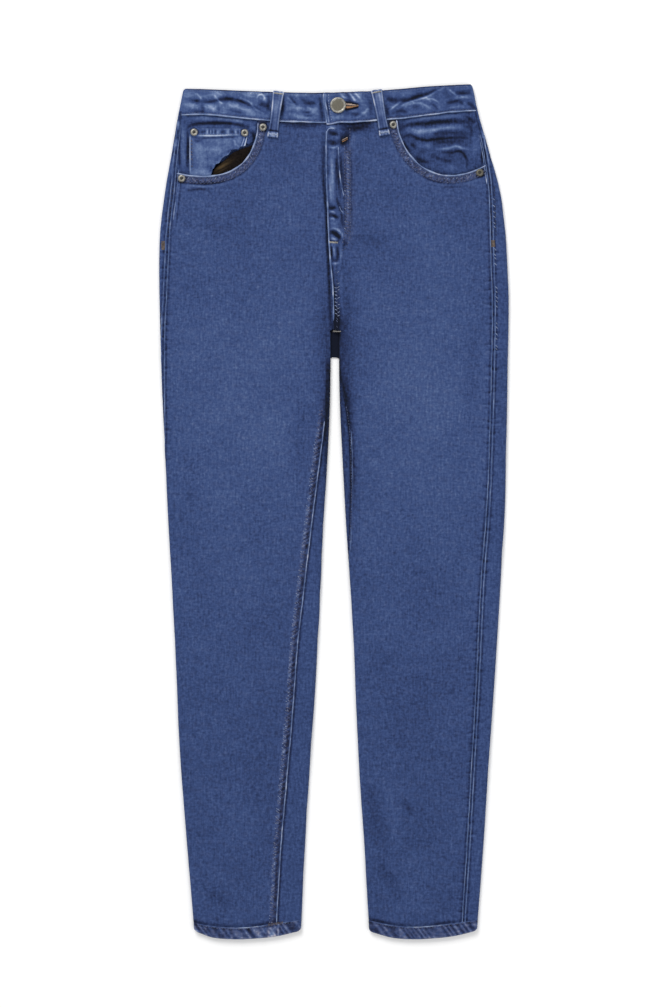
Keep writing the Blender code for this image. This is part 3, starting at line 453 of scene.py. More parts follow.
def denim(name, dark=0.0, mottle=1.0):
    """Indigo cotton twill: mottled, streaked along the warp, worn where the tone is high, and darker where it
    is low, which holds painted shade.
    """
    material, tree = new_material(name)
    tree.nodes.clear()

    def node(kind, sockets, **settings):
        return add_node(tree, kind, sockets, **settings)

    def maths(kind, *values):
        return node("Math", dict(enumerate(values)), operation=kind).outputs[0]

    def noise(vector, scale, detail=2.0, rough=0.5):
        sockets = {"Vector": vector, "Scale": scale, "Detail": detail, "Roughness": rough}
        return node("TexNoise", sockets).outputs["Fac"]

    place_of = node("TexCoord", {}).outputs["Object"]
    warp, weft = (node("Mapping", {"Vector": place_of, "Scale": stretch}).outputs[0]
                  for stretch in ((1.0, 0.16, 1.0), (0.3, 1.0, 1.0)))
    split = node("SeparateXYZ", {0: place_of})
    tone, grey = (node("Attribute", {}, attribute_name=kind).outputs["Fac"] for kind in ("tone", "grey"))
    worm = noise(place_of, 310.0, 3.0, 0.66)
    patch = noise(place_of, 150.0)
    cloud = noise(place_of, 16.0)
    streak = noise(warp, 480.0)
    pick = noise(weft, 520.0, 1.0)
    fleck = noise(place_of, 1500.0, 1.0)
    across, along = (maths("MULTIPLY", split.outputs[k], rate) for k, rate in ((0, 6200.0), (1, 4300.0)))
    twill = maths("SINE", maths("ADD", across, along), 0.0)

    total = maths("MULTIPLY_ADD", worm, 1.24 * mottle, -0.62 * mottle - dark)
    shares = [(patch, 0.13 * mottle), (cloud, 0.03), (streak, 0.62 * mottle), (pick, 0.34 * mottle),
              (fleck, 0.3)]
    for part, size in shares:
        total = maths("ADD", total, maths("MULTIPLY_ADD", part, size, -0.5 * size))
    total = maths("ADD", total, maths("MULTIPLY", twill, 0.05))
    even = maths("MAXIMUM", maths("MINIMUM", maths("MULTIPLY_ADD", tone, -1.2, 1.0), 1.0), 0.3)
    total = maths("MULTIPLY_ADD", maths("MULTIPLY", total, even), 0.5, 0.5)
    ramp = node("ValToRGB", {0: maths("ADD", total, maths("MULTIPLY", tone, 0.8))})
    for at, _ in WASH[1:-1]:
        ramp.color_ramp.elements.new(at)
    for element, (at, colour) in zip(ramp.color_ramp.elements, WASH):
        element.position = at
        element.color = (*colour, 1.0)
    washed = ramp.outputs[0]
    dusty = node("Mix", {"Factor": 1.0, "A": washed, "B": (1.62, 1.10, 0.82, 1.0)}, data_type="RGBA",
                 blend_type="MULTIPLY")
    mix = node("Mix", {"Factor": grey, "A": washed, "B": dusty.outputs["Result"]}, data_type="RGBA")

    height = maths("ADD", maths("MULTIPLY", twill, 0.25), maths("MULTIPLY", worm, 1.6))
    height = maths("ADD", height, maths("MULTIPLY", streak, 0.5))
    bump = node("Bump", {"Strength": 0.55, "Distance": 0.0004, "Height": height})
    shader = node("BsdfPrincipled", {
        "Base Color": mix.outputs["Result"], "Normal": bump.outputs[0],
        "Roughness": maths("MULTIPLY_ADD", worm, 0.10, 0.82), "Specular IOR Level": 0.12,
        "Sheen Weight": 0.05, "Sheen Roughness": 0.6, "Sheen Tint": (0.55, 0.65, 0.9, 1.0)})
    node("OutputMaterial", {0: shader.outputs[0]})
    return material


def plain(name, colour, roughness, metallic=0.0, spread=0.25, scale=600.0):
    """Thread, pocket cloth or metal: one colour with small uneven darker places."""
    material, tree = new_material(name)
    where = add_node(tree, "TexCoord", {}).outputs["Object"]
    noise = add_node(tree, "TexNoise", {"Vector": where, "Scale": scale, "Detail": 3.0}).outputs["Fac"]
    ramp = add_node(tree, "ValToRGB", {0: noise})
    for element, at, share in zip(ramp.color_ramp.elements, (0.3, 0.7), (1 - spread, 1 + spread)):
        element.position = at
        element.color = (*[min(1.0, c * share) for c in colour], 1.0)
    bump = add_node(tree, "Bump", {"Strength": 0.4, "Distance": 0.00005, "Height": noise})
    set_sockets(tree, tree.nodes["Principled BSDF"], {
        "Base Color": ramp.outputs[0], "Normal": bump.outputs[0],
        "Roughness": roughness, "Metallic": metallic})
    return material


BODY = denim("denim_body")
FACING = denim("denim_facing", dark=0.10)
# Worn pale edges, and also painted shade: the buttonhole's slot and the waistband's darkened top edge
EDGE = denim("denim_worn_edge", mottle=0.7)
BAND = denim("denim_band", dark=-0.05, mottle=0.7)
HEM = denim("denim_hem", dark=-0.10, mottle=0.8)
DARK = plain("metal_dark", (0.03, 0.028, 0.025), 0.5, metallic=0.4)


def pocketing(name):
    """Dark brown pocket cloth, painted nearly black for the shade in the pocket's recess, with a golden
    painted sheen in slanted streaks where the tone is high.
    """
    material = plain(name, (0.0065, 0.0045, 0.0042), 0.95, spread=0.6, scale=420.0)
    tree = material.node_tree
    where = tree.nodes["Texture Coordinate"].outputs["Object"]
    turn = add_node(tree, "Mapping", {
        "Vector": where, "Rotation": (0.0, 0.0, -0.55), "Scale": (0.3, 1.4, 1.0)})
    streaks = add_node(tree, "TexNoise", {"Vector": turn.outputs[0], "Scale": 300.0})
    tone = add_node(tree, "Attribute", {}, attribute_name="tone")
    share = add_node(tree, "Math", {0: streaks.outputs["Fac"], 1: tone.outputs["Fac"]}, operation="MULTIPLY",
                     use_clamp=True)
    dark = tree.nodes["Color Ramp"].outputs[0]
    gold = add_node(tree, "Mix", {"Factor": share.outputs[0], "A": dark, "B": (0.115, 0.076, 0.036, 1.0)},
                    data_type="RGBA")
    set_sockets(tree, tree.nodes["Principled BSDF"], {
        "Specular IOR Level": 0.1, "Base Color": gold.outputs["Result"]})
    return material


BAG = pocketing("pocket_cloth")
THREAD = plain("thread_grey", (0.082, 0.100, 0.190), 0.8, spread=0.6, scale=220.0)
PLUM = plain("thread_plum", (0.090, 0.094, 0.165), 0.8, spread=0.5, scale=240.0)
TAN = plain("thread_tan", (0.30, 0.29, 0.27), 0.75, spread=0.4, scale=260.0)
COPPER = plain("thread_copper", (0.31, 0.155, 0.07), 0.7, spread=0.4, scale=400.0)
PALE = plain("thread_pale", (0.25, 0.31, 0.46), 0.8, spread=0.35, scale=240.0)
ROSE = plain("thread_rose", (0.38, 0.29, 0.24), 0.75, spread=0.3, scale=400.0)
BROWN = plain("thread_brown", (0.105, 0.080, 0.068), 0.8, spread=0.5, scale=300.0)
NAVY = plain("thread_navy", (0.014, 0.017, 0.045), 0.85, spread=0.5, scale=240.0)
BRASS = plain("brass_aged", (0.118, 0.109, 0.084), 0.55, metallic=0.35, spread=0.12, scale=500.0)
RIM = plain("brass_worn", (0.285, 0.275, 0.245), 0.40, metallic=0.6, spread=0.45, scale=420.0)


def pale_floor():
    material, tree = new_material("floor_white")
    set_sockets(tree, tree.nodes["Principled BSDF"], {
        "Base Color": (0.975, 0.975, 0.975, 1.0), "Roughness": 0.9})
    return material


# Camera, lights and floor

SENSOR = 36.0
CAMERA_DISTANCE = 3000.0
# Name, place and size in metres, and power
LAMPS = [("key", (-1.5, 3.2, 3.2), 2.4, 140.0), ("fill", (2.0, -1.6, 3.6), 3.0, 52.0)]


def build_stage():
    scene = bpy.context.scene
    camera = bpy.data.objects.new("camera", bpy.data.cameras.new("camera"))
    scene.collection.objects.link(camera)
    camera.data.sensor_width = SENSOR
    camera.data.lens = SENSOR * CAMERA_DISTANCE / (PHOTO_SIZE[1] * PIXEL)
    camera.data.clip_end = 20.0
    centre = spot([(PHOTO_SIZE[0] / 2, PHOTO_SIZE[1] / 2)])[0]
    camera.location = (centre[0] * MM, (centre[1] - LENGTH / 2) * MM, (CAMERA_DISTANCE + 6.0) * MM)
    camera.rotation_euler = (0.0, 0.0, 0.0)
    scene.camera = camera

    mesh = bpy.data.meshes.new("floor")
    mesh.from_pydata([(-6, -6, 0), (6, -6, 0), (6, 6, 0), (-6, 6, 0)], [], [(0, 1, 2, 3)])
    mesh.materials.append(pale_floor())
    floor = bpy.data.objects.new("floor", mesh)
    scene.collection.objects.link(floor)

    world = bpy.data.worlds.new("studio")
    scene.world = world
    world.use_nodes = True
    sky = world.node_tree.nodes["Background"]
    sky.inputs["Color"].default_value = (1.0, 1.0, 1.0, 1.0)
    sky.inputs["Strength"].default_value = 0.56
    for name, where, size, power in LAMPS:
        light = bpy.data.lights.new(name, "AREA")
        light.size = size
        light.energy = power
        lamp = bpy.data.objects.new(name, light)
        scene.collection.objects.link(lamp)
        lamp.location = where
        lamp.rotation_euler = (-Vector(where)).to_track_quat("-Z", "Y").to_euler()
    scene.view_settings.view_transform = "Standard"


build_stage()

# Pocket openings, as (x, up) lines from the waistband to the side seam


def bezier(controls, steps=60):
    s = np.linspace(0, 1, steps + 1)[:, None]
    p = np.array(controls, float)
    return (1 - s) ** 3 * p[0] + 3 * s * (1 - s) ** 2 * p[1] + 3 * s * s * (1 - s) * p[2] + s ** 3 * p[3]


def pocket_line(leg):
    line = bezier(leg.pocket)
    return np.stack([leg.side * line[:, 0], line[:, 1]], 1)


def shifted(line, distance):
    """A line moved to the left of its direction."""
    step = directions(line)
    return line + distance * np.stack([-step[:, 1], step[:, 0]], 1)


# Creases of the front, in the photo's pixels: half width and height in millimetres, tone, points. Their tone
# pales ridges as worn indigo and darkens troughs as painted shade
FRONT_CREASES = [
    # Under the pockets
    (2.0, 0.5, 0.24, (183, 186.6), (192, 185), (204, 187), (213, 186)),
    (1.5, -0.5, -0.42, (186, 190), (192, 190), (203, 189), (210, 190)),
    (2.0, 0.5, 0.20, (438, 183), (450, 182), (462, 182), (470, 180)),
    (1.7, -0.5, -0.22, (442, 186), (452, 187), (464, 186)),
    (1.4, -0.5, -0.48, (183, 183), (196, 184), (215, 183), (226, 180)),
    (1.6, -0.4, -0.30, (424, 178), (440, 182), (455, 181), (468, 179)),
    # Left of the fly: painted shadow along the fly's lapped edge, and under the waistband
    (1.7, -0.7, -0.62, (323.4, 126), (323.2, 150), (323.4, 175), (325.2, 200), (326.6, 222), (327.4, 245),
     (328.2, 262), (329.8, 300), (330.6, 330)),
    (3.2, -0.5, -0.30, (283, 125), (300, 126), (320, 126.5)),
]

# Creases of the fly, from its top to the bar tack and on to the crotch, with painted shade in the troughs,
# round the copper tack and under the waistband
FLY_CREASES = [
    (1.2, 0.5, 0.42, (326, 127.5), (331, 127.3), (336, 129)),
    (3.0, -0.7, -0.46, (328, 132), (333, 134), (339, 134.5)),
    (1.2, 0.4, 0.28, (331, 137.5), (335, 136.6), (340, 139)),
    (2.8, -0.7, -0.44, (328, 141), (333, 143.4), (339, 143)),
    (1.4, 0.5, 0.34, (328, 147.4), (334, 148), (339.5, 145)),
    (2.6, 0.6, 0.30, (332, 150), (332, 165), (332.4, 185), (333, 203)),
    (1.2, -0.4, -0.22, (335.6, 158), (335.8, 175), (336.4, 192)),
    (1.4, 0.4, 0.22, (329.4, 175), (330, 190), (330.6, 203)),
    (1.5, -0.6, -0.40, (337, 148), (337.2, 165), (338.4, 180), (339.6, 190), (340.6, 199)),
    (1.5, -0.5, -0.38, (340.2, 152), (341, 166), (342.6, 180), (344, 192)),
    (1.5, -0.6, -0.40, (336.6, 195), (338, 203), (341, 212)),
    (2.2, -0.8, -0.52, (328, 208), (333, 208.4), (336, 206)),
    (1.3, 0.6, 0.38, (328.6, 212), (332, 211.8), (336, 213.6)),
    (2.2, -0.8, -0.54, (329, 215), (333, 215.6), (339, 219)),
    (1.4, 0.5, 0.34, (329.6, 219.4), (333, 218.6), (335.6, 221)),
    (3.0, 0.4, 0.20, (330, 224), (334, 224), (338, 225)),
    (1.3, 0.8, 0.48, (330, 229), (334, 228.8), (338.6, 230.6), (341.6, 234), (343.4, 239)),
    (2.7, -0.9, -0.66, (329.6, 231.6), (334, 233), (338, 236.4), (341, 240)),
    (2.0, 0.6, 0.44, (331, 238.4), (334, 239.4), (337.6, 240.4)),
    (1.2, -0.6, -0.50, (328.6, 241), (333, 241.4), (339, 242)),
    (1.6, -0.5, -0.34, (340.4, 204), (341.6, 215), (342.4, 228)),
    (1.3, 0.5, 0.30, (340.4, 212), (343, 213), (345.6, 214)),
    (4.2, -0.3, -0.60, (341, 146), (345.6, 139.8), (349, 132)),
    (4.4, -0.3, -0.44, (340, 128.6), (352, 128.4), (374, 125)),
    (3.2, -0.3, -0.24, (341, 132), (342, 138), (341, 146)),
    (3.0, 0.3, 0.14, (352, 134), (353, 140), (351, 147)),
    (1.4, -0.3, -0.26, (343.6, 150), (344.8, 175), (345.0, 200), (344.6, 236)),
    (1.4, -0.3, -0.24, (350.6, 150), (351.2, 175), (351.2, 200), (350.6, 232)),
    (2.2, 0.3, 0.12, (347.2, 150), (347.8, 190), (347.4, 236)),
    (2.0, -0.3, -0.30, (341.6, 238), (345, 243), (342, 250)),
    # Below the bar tack
    (1.2, 0.4, 0.34, (333.6, 246), (334, 252), (334.4, 257)),
    (1.4, -0.5, -0.44, (331.4, 246), (331.8, 253), (332.4, 260)),
    (1.8, -0.6, -0.46, (337, 246), (338, 254), (336.8, 260.6)),
    (1.2, 0.4, 0.26, (340, 245), (340.8, 254), (340.4, 262)),
    (1.4, -0.5, -0.36, (331.6, 260.6), (335, 260.8), (338.6, 260)),
    (1.4, 0.5, 0.34, (331, 264), (335, 263.8), (340, 263)),
    (2.6, -0.4, -0.10, (335.2, 264), (336.6, 285), (337.2, 300), (337.6, 318)),
    (4.6, -0.4, -0.34, (336.8, 306), (337.2, 320), (336.8, 332), (336.8, 345)),
    (1.3, -0.4, -0.40, (331.4, 262), (333, 285), (334.2, 305), (334.2, 328)),
    (2.0, 0.3, 0.12, (341, 270), (342, 300), (342, 328)),
]

# Broad creases of the hips, thighs and lower legs, with painted shade in the troughs; the second row is a
# painted shade strip beside the left leg's inner edge below the crotch
LEG_CREASES = [
    (9.0, -0.4, -0.07, (302, 385), (301, 425), (297, 480)),
    (5.0, -0.5, -0.34, (344.4, 372), (347, 400), (350, 440), (352, 480), (350, 510)),
    (9.0, -0.5, -0.10, (368, 781), (376, 820), (383, 857)),
    (7.0, -0.5, -0.12, (373, 857), (390, 880), (403, 902)),
    (4.0, -0.4, -0.16, (402, 800), (408, 808), (413, 816)),
    (8.0, 0.5, 0.07, (382, 770), (392, 812), (400, 850)),
    (6.0, -0.4, -0.10, (196, 880), (214, 896), (232, 905)),
    (7.0, 0.4, 0.06, (205, 865), (224, 882), (246, 896)),
    (12.0, -0.4, -0.07, (185, 440), (190, 480), (197, 520)),
    (10.0, -0.4, -0.08, (478, 320), (472, 370), (470, 430)),
    (8.0, 0.4, 0.06, (300, 215), (285, 228), (268, 236)),
    (8.0, 0.4, 0.06, (366, 208), (388, 222), (410, 228)),
    (7.0, -0.4, -0.08, (345, 232), (366, 240), (390, 243)),
    (9.0, -0.4, -0.06, (180, 215), (205, 225), (235, 228)),
]

# Creases where the back rolls over the outer fold beside the pockets: pale ridges as worn indigo, troughs
# darkened as painted shade
ROLL_CREASES = [
    (2.2, 0.3, 0.50, (178.8, 120.5), (178.2, 125.5), (177.6, 130)),
    (1.5, -0.3, -0.46, (177.0, 131.6), (176.4, 134), (175.8, 136.4)),
    (2.3, 0.3, 0.50, (176.4, 138.4), (175.6, 144), (174.6, 149.6)),
    (1.3, -0.3, -0.44, (175.8, 151.4), (174.2, 152.6), (173.0, 154)),
    (1.8, 0.3, 0.32, (174.0, 156), (172.4, 165), (170.6, 178)),
    (2.2, 0.3, 0.50, (483.2, 130.4), (484.2, 136.6), (485.2, 143)),
    (1.2, -0.3, -0.42, (484.0, 146), (485.0, 156), (485.8, 166)),
    (1.4, 0.3, 0.30, (486.6, 146), (488.0, 156), (490.0, 167)),
    (1.2, -0.3, -0.30, (489.0, 148), (490.6, 157), (492.4, 166)),
]

# Creases of the back: pale ridges as worn indigo, troughs darkened as painted shade
BACK_CREASES = [
    (6.0, 0.5, 0.08, (300, 330), (270, 345), (235, 350)),
    (6.0, 0.5, 0.08, (352, 332), (380, 350), (418, 352)),
    (7.0, -0.4, -0.08, (310, 360), (285, 380), (250, 390)),
    (7.0, -0.4, -0.08, (348, 362), (372, 384), (405, 392)),
    (8.0, 0.4, 0.07, (210, 560), (240, 575), (272, 570)),
    (8.0, -0.4, -0.08, (205, 590), (238, 602), (276, 596)),
    (8.0, 0.4, 0.07, (392, 566), (424, 580), (458, 574)),
    (8.0, -0.4, -0.08, (390, 596), (425, 606), (462, 600)),
    (6.0, -0.4, -0.08, (215, 850), (240, 870), (262, 876)),
    (6.0, -0.4, -0.08, (392, 856), (420, 872), (446, 880)),
]


def fade(x, up):
    """The wash: palest on the front of the thighs and darker below the knees, with painted shade darkening
    the legs' inner and outer edges and the cloth beside the gap between them.
    """
    y = photo_row(up)
    across = (photo_column(x) - np.where(x < 0, 238, 425)) / 80
    tone = 0.10 * bell(y - 400, 130) * np.exp(-across ** 2) - 0.03
    tone -= 0.03 * soft((y - 600) / 130)
    # Painted shade: the inner edges of the thighs, the cloth beside the gap between the legs and the outer
    # edges are darkened
    inner = soft((y - 250) / 90) * soft((650 - y) / 160)
    tone -= np.where(x < 0, 0.20, 0.31) * bell(np.abs(x) - 6, 15) * inner
    gap = np.abs(x + 3.0) - read([(358, 13.0), (430, 9.5), (560, 8.0), (700, 5.0), (735, 4.5)], up)
    below = soft((y - 352) / 20) * soft((500 - y) / 60)
    tone -= 0.40 * bell(np.maximum(gap, 0), np.where(x < -3, 2.0, 4.8)) * below
    tone -= 0.07 * bell(x - 205, 16) * inner + 0.05 * bell(x + 204, 12) * inner
    return tone + 0.02 * wander(x, up, 110, 31)


def front_relief(leg, x, up):
    """(height, tone) of the front panels at flat arrays of places."""
    lift = 0.20 * wander(x, up, 95, 5) + 0.06 * wander(x, up, 38, 6)
    shade = fade(x, up) + 0.012 * wander(x, up, 38, 6)
    add_creases(FRONT_CREASES + LEG_CREASES, x, up, lift, shade)
    if leg is LEFT:
        add_creases(FLY_CREASES, x, up, lift, shade, 1.3)
    edge = pocket_line(leg)
    # The hem of the pocket opening is doubled, with its two rows of stitches
    near, _, away, _ = along_line(edge, x, up, 16.0)
    band = soft((10.0 - np.abs(away)) / 1.6)
    lift[near] += 0.8 * band
    shade[near] += 0.02 * band
    pucker_along(edge, x, up, lift, shade, 11, 4.2, 6.0, 0.22, 0.17, slant=0.9, offset=-leg.side * 5.0)
    near, at, away, _ = along_line(edge, x, up, 14.0)
    inside = -leg.side * away
    shade[near] += 0.14 * bell(inside - 6.0, 1.6) * wander(at, inside, 5, 147)
    # Painted shade: dark lines in the edge row's groove and where the doubled hem ends
    shade[near] -= 0.18 * bell(inside - 2.6, 1.1) + 0.20 * bell(inside - 9.6, 1.2)
    shade[near] += 0.10 * bell(inside - 12.0, 1.3)
    return lift, shade + painted_rivet_shadow(x, up)


def front_surface(leg, a, up):
    """(points, normals, tone) on the dressed front of a leg."""
    shape = np.shape(a)
    a, up = np.ravel(a).astype(float), np.ravel(up).astype(float)
    x, z, nx, nz = place(leg, a, up)
    lift, shade = front_relief(leg, x, up)
    if leg is LEFT:
        past = leg.side * x - read(leg.front_edge, up)
        step = np.where(up > FRONT_PARTS - 3, soft((22 - past) / 13), 0.0) * soft((up - FRONT_PARTS + 4) / 6)
        lift += LAP * step
    # The panel sinks a little where the waistband is sewn over it, and a painted shadow darkens it just below
    # the band
    low = read(leg.band_low, leg.side * x)
    lift -= 0.9 * soft((up - low + 4.0) / 4.0)
    shade -= 0.36 * bell(up - low + 1.2, 2.2)
    side = a - side_at(leg, up)
    seam_side(leg, side, up, lift, shade, True)
    inner = inseam_at(leg, up) - a
    seam_inner(leg, inner, up, lift, shade, True)
    hem = hem_line(leg, a, up)
    lift -= 0.5 * soft((hem - up + 3.0) / 3.0)
    # Painted shadow: a dark line just above the hem
    shade -= (0.26 + 0.16 * wander_along(x, 38, 57)) * bell(up - hem - 1.8, 1.9)
    calm = soft(1.2 - np.abs(nx))
    lift = np.where(nz >= 0, lift, np.minimum(lift, 0.25 * (1 + nz))) * (0.3 + 0.7 * calm)
    points = np.stack([x + nx * lift, up, z + nz * lift], 1)
    normals = np.stack([nx, 0 * nx, nz], 1)
    return points.reshape(*shape, 3), normals.reshape(*shape, 3), shade.reshape(shape)


def front_grey(leg, a, up):
    """Where the cloth is rubbed to a brownish grey: along the pockets' hems, the fly and the right inseam."""
    x = place(leg, a, up)[0]
    grey = 0.12 * soft(wander(x, up, 9, 141))
    near, at, away, _ = along_line(pocket_line(leg), x, up, 12.0)
    inside = -leg.side * away
    speckle = 0.55 + 0.35 * wander(at, inside, 4.2, 143)
    grey[near] += speckle * soft((inside - 1.0) / 1.5) * soft((10.5 - inside) / 2.0)
    if leg is LEFT:
        y = photo_row(up)
        column = photo_column(x) - 347.0 - 2.0 * soft((y - 140) / 60)
        row_share = soft((y - 140) / 12)
        grey += (0.34 + 0.25 * wander(x, up, 4, 144)) * bell(column, 4.6) * row_share * soft((246 - y) / 10)
    else:
        gap = inseam_at(leg, up) - a
        below = soft((BACK_PARTS - 30 - up) / 60)
        grey += below * (0.38 + 0.25 * wander(gap, up, 7, 145)) * bell(gap - 4.8, 4.0)
    return np.clip(grey, 0, 1)


def hem_share(leg, a, up):
    quarter = pi * fold_radius(up) / 2
    flat = read(leg.outer, up) - read(leg.inner, up) - 2 * fold_radius(up)
    return np.clip((np.abs(a) - quarter) / flat, 0, 1)


def hem_line(leg, a, up):
    return read(leg.hem_high, hem_share(leg, a, 20.0 + 0 * up))


def seam_side(leg, away, up, lift, shade, front):
    """Felled side seam: a pale line at its edge, another one on the back's side, and puckers beside both,
    whose troughs are darkened as painted shade.
    """
    near = (away > -2) & (away < 18)
    distance, height = away[near], up[near]
    line = 0.7 if front else (2.9 if leg is LEFT else 3.4)
    dents = tucks(height, np.maximum(distance - line - 1.2, 0), 41 + leg.side + 3 * front, 15.0, 6.4)
    dents *= 0.45 + 0.55 * soft((870 - height) / 60)
    lift[near] += 0.45 * bell(distance - line, 1.1) - 0.26 * dents
    shade[near] -= 0.31 * dents + 0.24 * bell(distance - line - 1.9, 1.1)
    if not front:
        shade[near] -= 0.30 * bell(distance - line + 2.1, 1.0)
    elif leg is RIGHT:
        hip = soft((height - 850) / 14) * soft((925 - height) / 10)
        shade[near] += hip * (0.16 * bell(distance - 5.6, 0.9) - 0.22 * bell(distance - 7.6, 0.9))


def seam_inner(leg, away, up, lift, shade, front):
    """Inseam: roping in a band on the front of the right leg, and a thin dark line on the left one. The
    roping's troughs are darker, partly as painted shade.
    """
    near = (away > -2) & (away < 20)
    distance, height = away[near], up[near]
    below = soft((BACK_PARTS - 30 - height) / 60)
    phase = height + 0.7 * distance
    beat = phase / 6.4 + 0.6 * wander_along(phase, 30, 51 + leg.side)
    strength = 0.35 + 0.65 * soft(0.5 + 0.8 * wander_along(height, 48, 53 + leg.side))
    wave = np.clip(1.4 * np.sin(2 * pi * beat) - 0.3, -1.1, 0.9) * strength * below
    if leg is RIGHT and front:
        patchy = wander_along(height, 15, 55)
        fall = soft((distance - 1.2) / 0.9) * soft((10.4 - distance) / 2.0)
        lift[near] += (0.26 * wave + 0.40 * below) * fall
        shade[near] += below * fall * (0.20 * wave + 0.10 * patchy)
        shade[near] += below * (0.13 * bell(distance - 7.8, 2.0)
                                - np.clip(0.20 + 0.22 * patchy, 0.02, 0.5) * bell(distance - 3.5, 2.0))
    # Painted shade beside the edge of the front that lies over the back
    elif leg is RIGHT:
        shade[near] -= 0.34 * below * bell(distance - 1.0, 1.3)
    else:
        fall = bell(distance - 3.0, 3.0)
        lift[near] += 0.16 * wave * fall
        shade[near] += 0.10 * wave * fall - 0.26 * below * bell(distance, 1.2)
    # Painted shadow beside the fly's lapped edge, above the crotch
    if leg is LEFT and front:
        shade[near] -= (1 - below) * 0.16 * bell(distance - 2.6, 1.2)


def back_inner(leg, up):
    """Where a back ends: at the centre line, and below the crotch at the inseam."""
    centre = half_round(leg, up, False) - pi * fold_radius(up) / 2
    over = half_round(leg, up, False) + read(leg.inseam, up)
    return -(centre + open_share(up, BACK_PARTS) * (over - centre))


def yoke_line(out):
    """How far up the yoke's seam runs, at a distance from the centre line."""
    return 925.0 + 38.0 * np.clip(out / 195.0, 0, 1)


def back_relief(leg, a, up, x, nz):
    lift = np.zeros(len(a))
    shade = 0.8 * fade(x, up)
    add_creases(BACK_CREASES, x, up, lift, shade)
    under = nz < -0.5
    over = np.flatnonzero(nz > 0)
    roll = [np.zeros(len(over)), np.zeros(len(over))]
    add_creases(ROLL_CREASES, x[over], up[over], *roll)
    lift[over] += roll[0]
    shade[over] += roll[1]
    lift = np.where(under, -0.6 * np.abs(lift), lift)
    seam_side(leg, side_at(leg, up) - a, up, lift, shade, False)
    seam_inner(leg, a - back_inner(leg, up), up, lift, shade, False)
    out = leg.side * x
    yoke = up - yoke_line(out)
    shade += 0.12 * bell(yoke - 3.4, 3.6) - 0.26 * bell(yoke, 1.4)
    lift = np.where(under, np.minimum(lift, 0.0), lift)
    # It keeps off the floor by the thickness of the thread at the rows, and stands off the patch pocket
    rows = np.maximum(bell(yoke - 3.4, 5.0), bell(out - 2.6, 4.0))
    edge = np.maximum.reduce([36.0 - out, out - 176.0, 730.0 - up, up - 886.0])
    stand = np.maximum(0.6 * rows * (up > BACK_PARTS), 1.7 * soft((9.0 - edge) / 8.0))
    return np.where(under, lift - stand, lift), shade


def back_surface(leg, a, up):
    """(points, normals, tone) on the dressed back of a leg."""
    a, up = np.asarray(a, float), np.asarray(up, float)
    x, z, nx, nz = place(leg, a, up)
    lift, shade = back_relief(leg, a, up, x, nz)
    return np.stack([x + nx * lift, up, z + nz * lift], 1), np.stack([nx, 0 * nx, nz], 1), shade


def columns_between(width, coarse, fine=0.45, dense=6.0, growth=1.16):
    """Shares from one edge to the other, closer together near both of them."""
    steps = [0.0]
    size = fine
    while steps[-1] < width / 2:
        steps.append(steps[-1] + size)
        if steps[-1] > dense:
            size = min(coarse, size * growth)
    half = np.array(steps) / (2 * steps[-1])
    return np.concatenate([half, 1 - half[-2::-1]])


def with_rim(points, faces, normals, depth, *values):
    """Adds a narrow wall below every free edge, so that a cut edge shows its thickness."""
    edges = np.concatenate([faces[:, [k, (k + 1) % 4]] for k in range(4)])
    _, first, count = np.unique(np.sort(edges, 1), axis=0, return_index=True, return_counts=True)
    rim = edges[first[count == 1]]
    used = np.unique(rim)
    number = np.full(len(points), -1)
    number[used] = len(points) + np.arange(len(used))
    lower = points[used] - depth * normals[used]
    walls = np.stack([rim[:, 1], rim[:, 0], number[rim[:, 0]], number[rim[:, 1]]], 1)
    return [np.concatenate([points, lower]), np.concatenate([faces, walls])] + [
        np.concatenate([value, value[used]]) for value in values]


# Shared shapes: grids, cut outlines, trails of points on the cloth, stitches and worn edges

Trail = namedtuple("Trail", "points normals")

# A thread's rings: share of its length, size, and rise as a share of its arch, or none at its sunk ends
THREAD_RINGS = [(0.0, 0.35, None), (0.16, 0.9, 0.5), (0.5, 1.0, 1.0), (0.84, 0.9, 0.5), (1.0, 0.35, None)]
THREAD_SIDES = 5
THREAD_POINTS = len(THREAD_RINGS) * THREAD_SIDES
THREAD_SINK = 0.3
THREAD_LIFT = 0.12
# Tones round a worn edge, from one side over its top to the other: the flanks are darkened as painted shade
BEAD_TONES = np.array([-0.30, -0.03, 0.06, 0.06, -0.03, -0.30])
BEAD_SIDES = len(BEAD_TONES)
BEAD_SINK = 0.12
SATIN_ARCH = 0.35


def smooth_line(points, step):
    """A smooth line through points, with even steps."""
    fine = curve(points, 12)
    run = run_along(fine)
    count = max(2, int(round(run[-1] / step)) + 1)
    at = np.linspace(0, run[-1], count)
    return np.stack([np.interp(at, run, fine[:, axis]) for axis in (0, 1)], 1)


def front_trail(leg, line, step=0.8):
    """A trail on a dressed front, along a line of (x, up)."""
    line = smooth_line(line, step)
    points, normals, _ = front_surface(leg, a_of(leg, line[:, 0], line[:, 1]), line[:, 1])
    return Trail(points, normals)


def level_trail(line, height, step=0.8):
    """A trail at a height that is a number or a function of x and up."""
    line = smooth_line(line, step)
    return Trail(np.column_stack([line, height_at(height, line)]), upward(len(line)))


def turned_down(trail):
    return Trail(trail.points, trail.normals * (1, 1, -1))


def frames_of(trail):
    run = np.concatenate([[0], np.cumsum(np.linalg.norm(np.diff(trail.points, axis=0), axis=1))])
    ahead = np.gradient(trail.points, axis=0)
    ahead /= np.linalg.norm(ahead, axis=1, keepdims=True) + 1e-9
    side = np.cross(trail.normals, ahead)
    side /= np.linalg.norm(side, axis=1, keepdims=True) + 1e-9
    return run, side


def read_along(run, values, at):
    return np.stack([np.interp(at, run, values[:, k]) for k in range(values.shape[1])], 1)


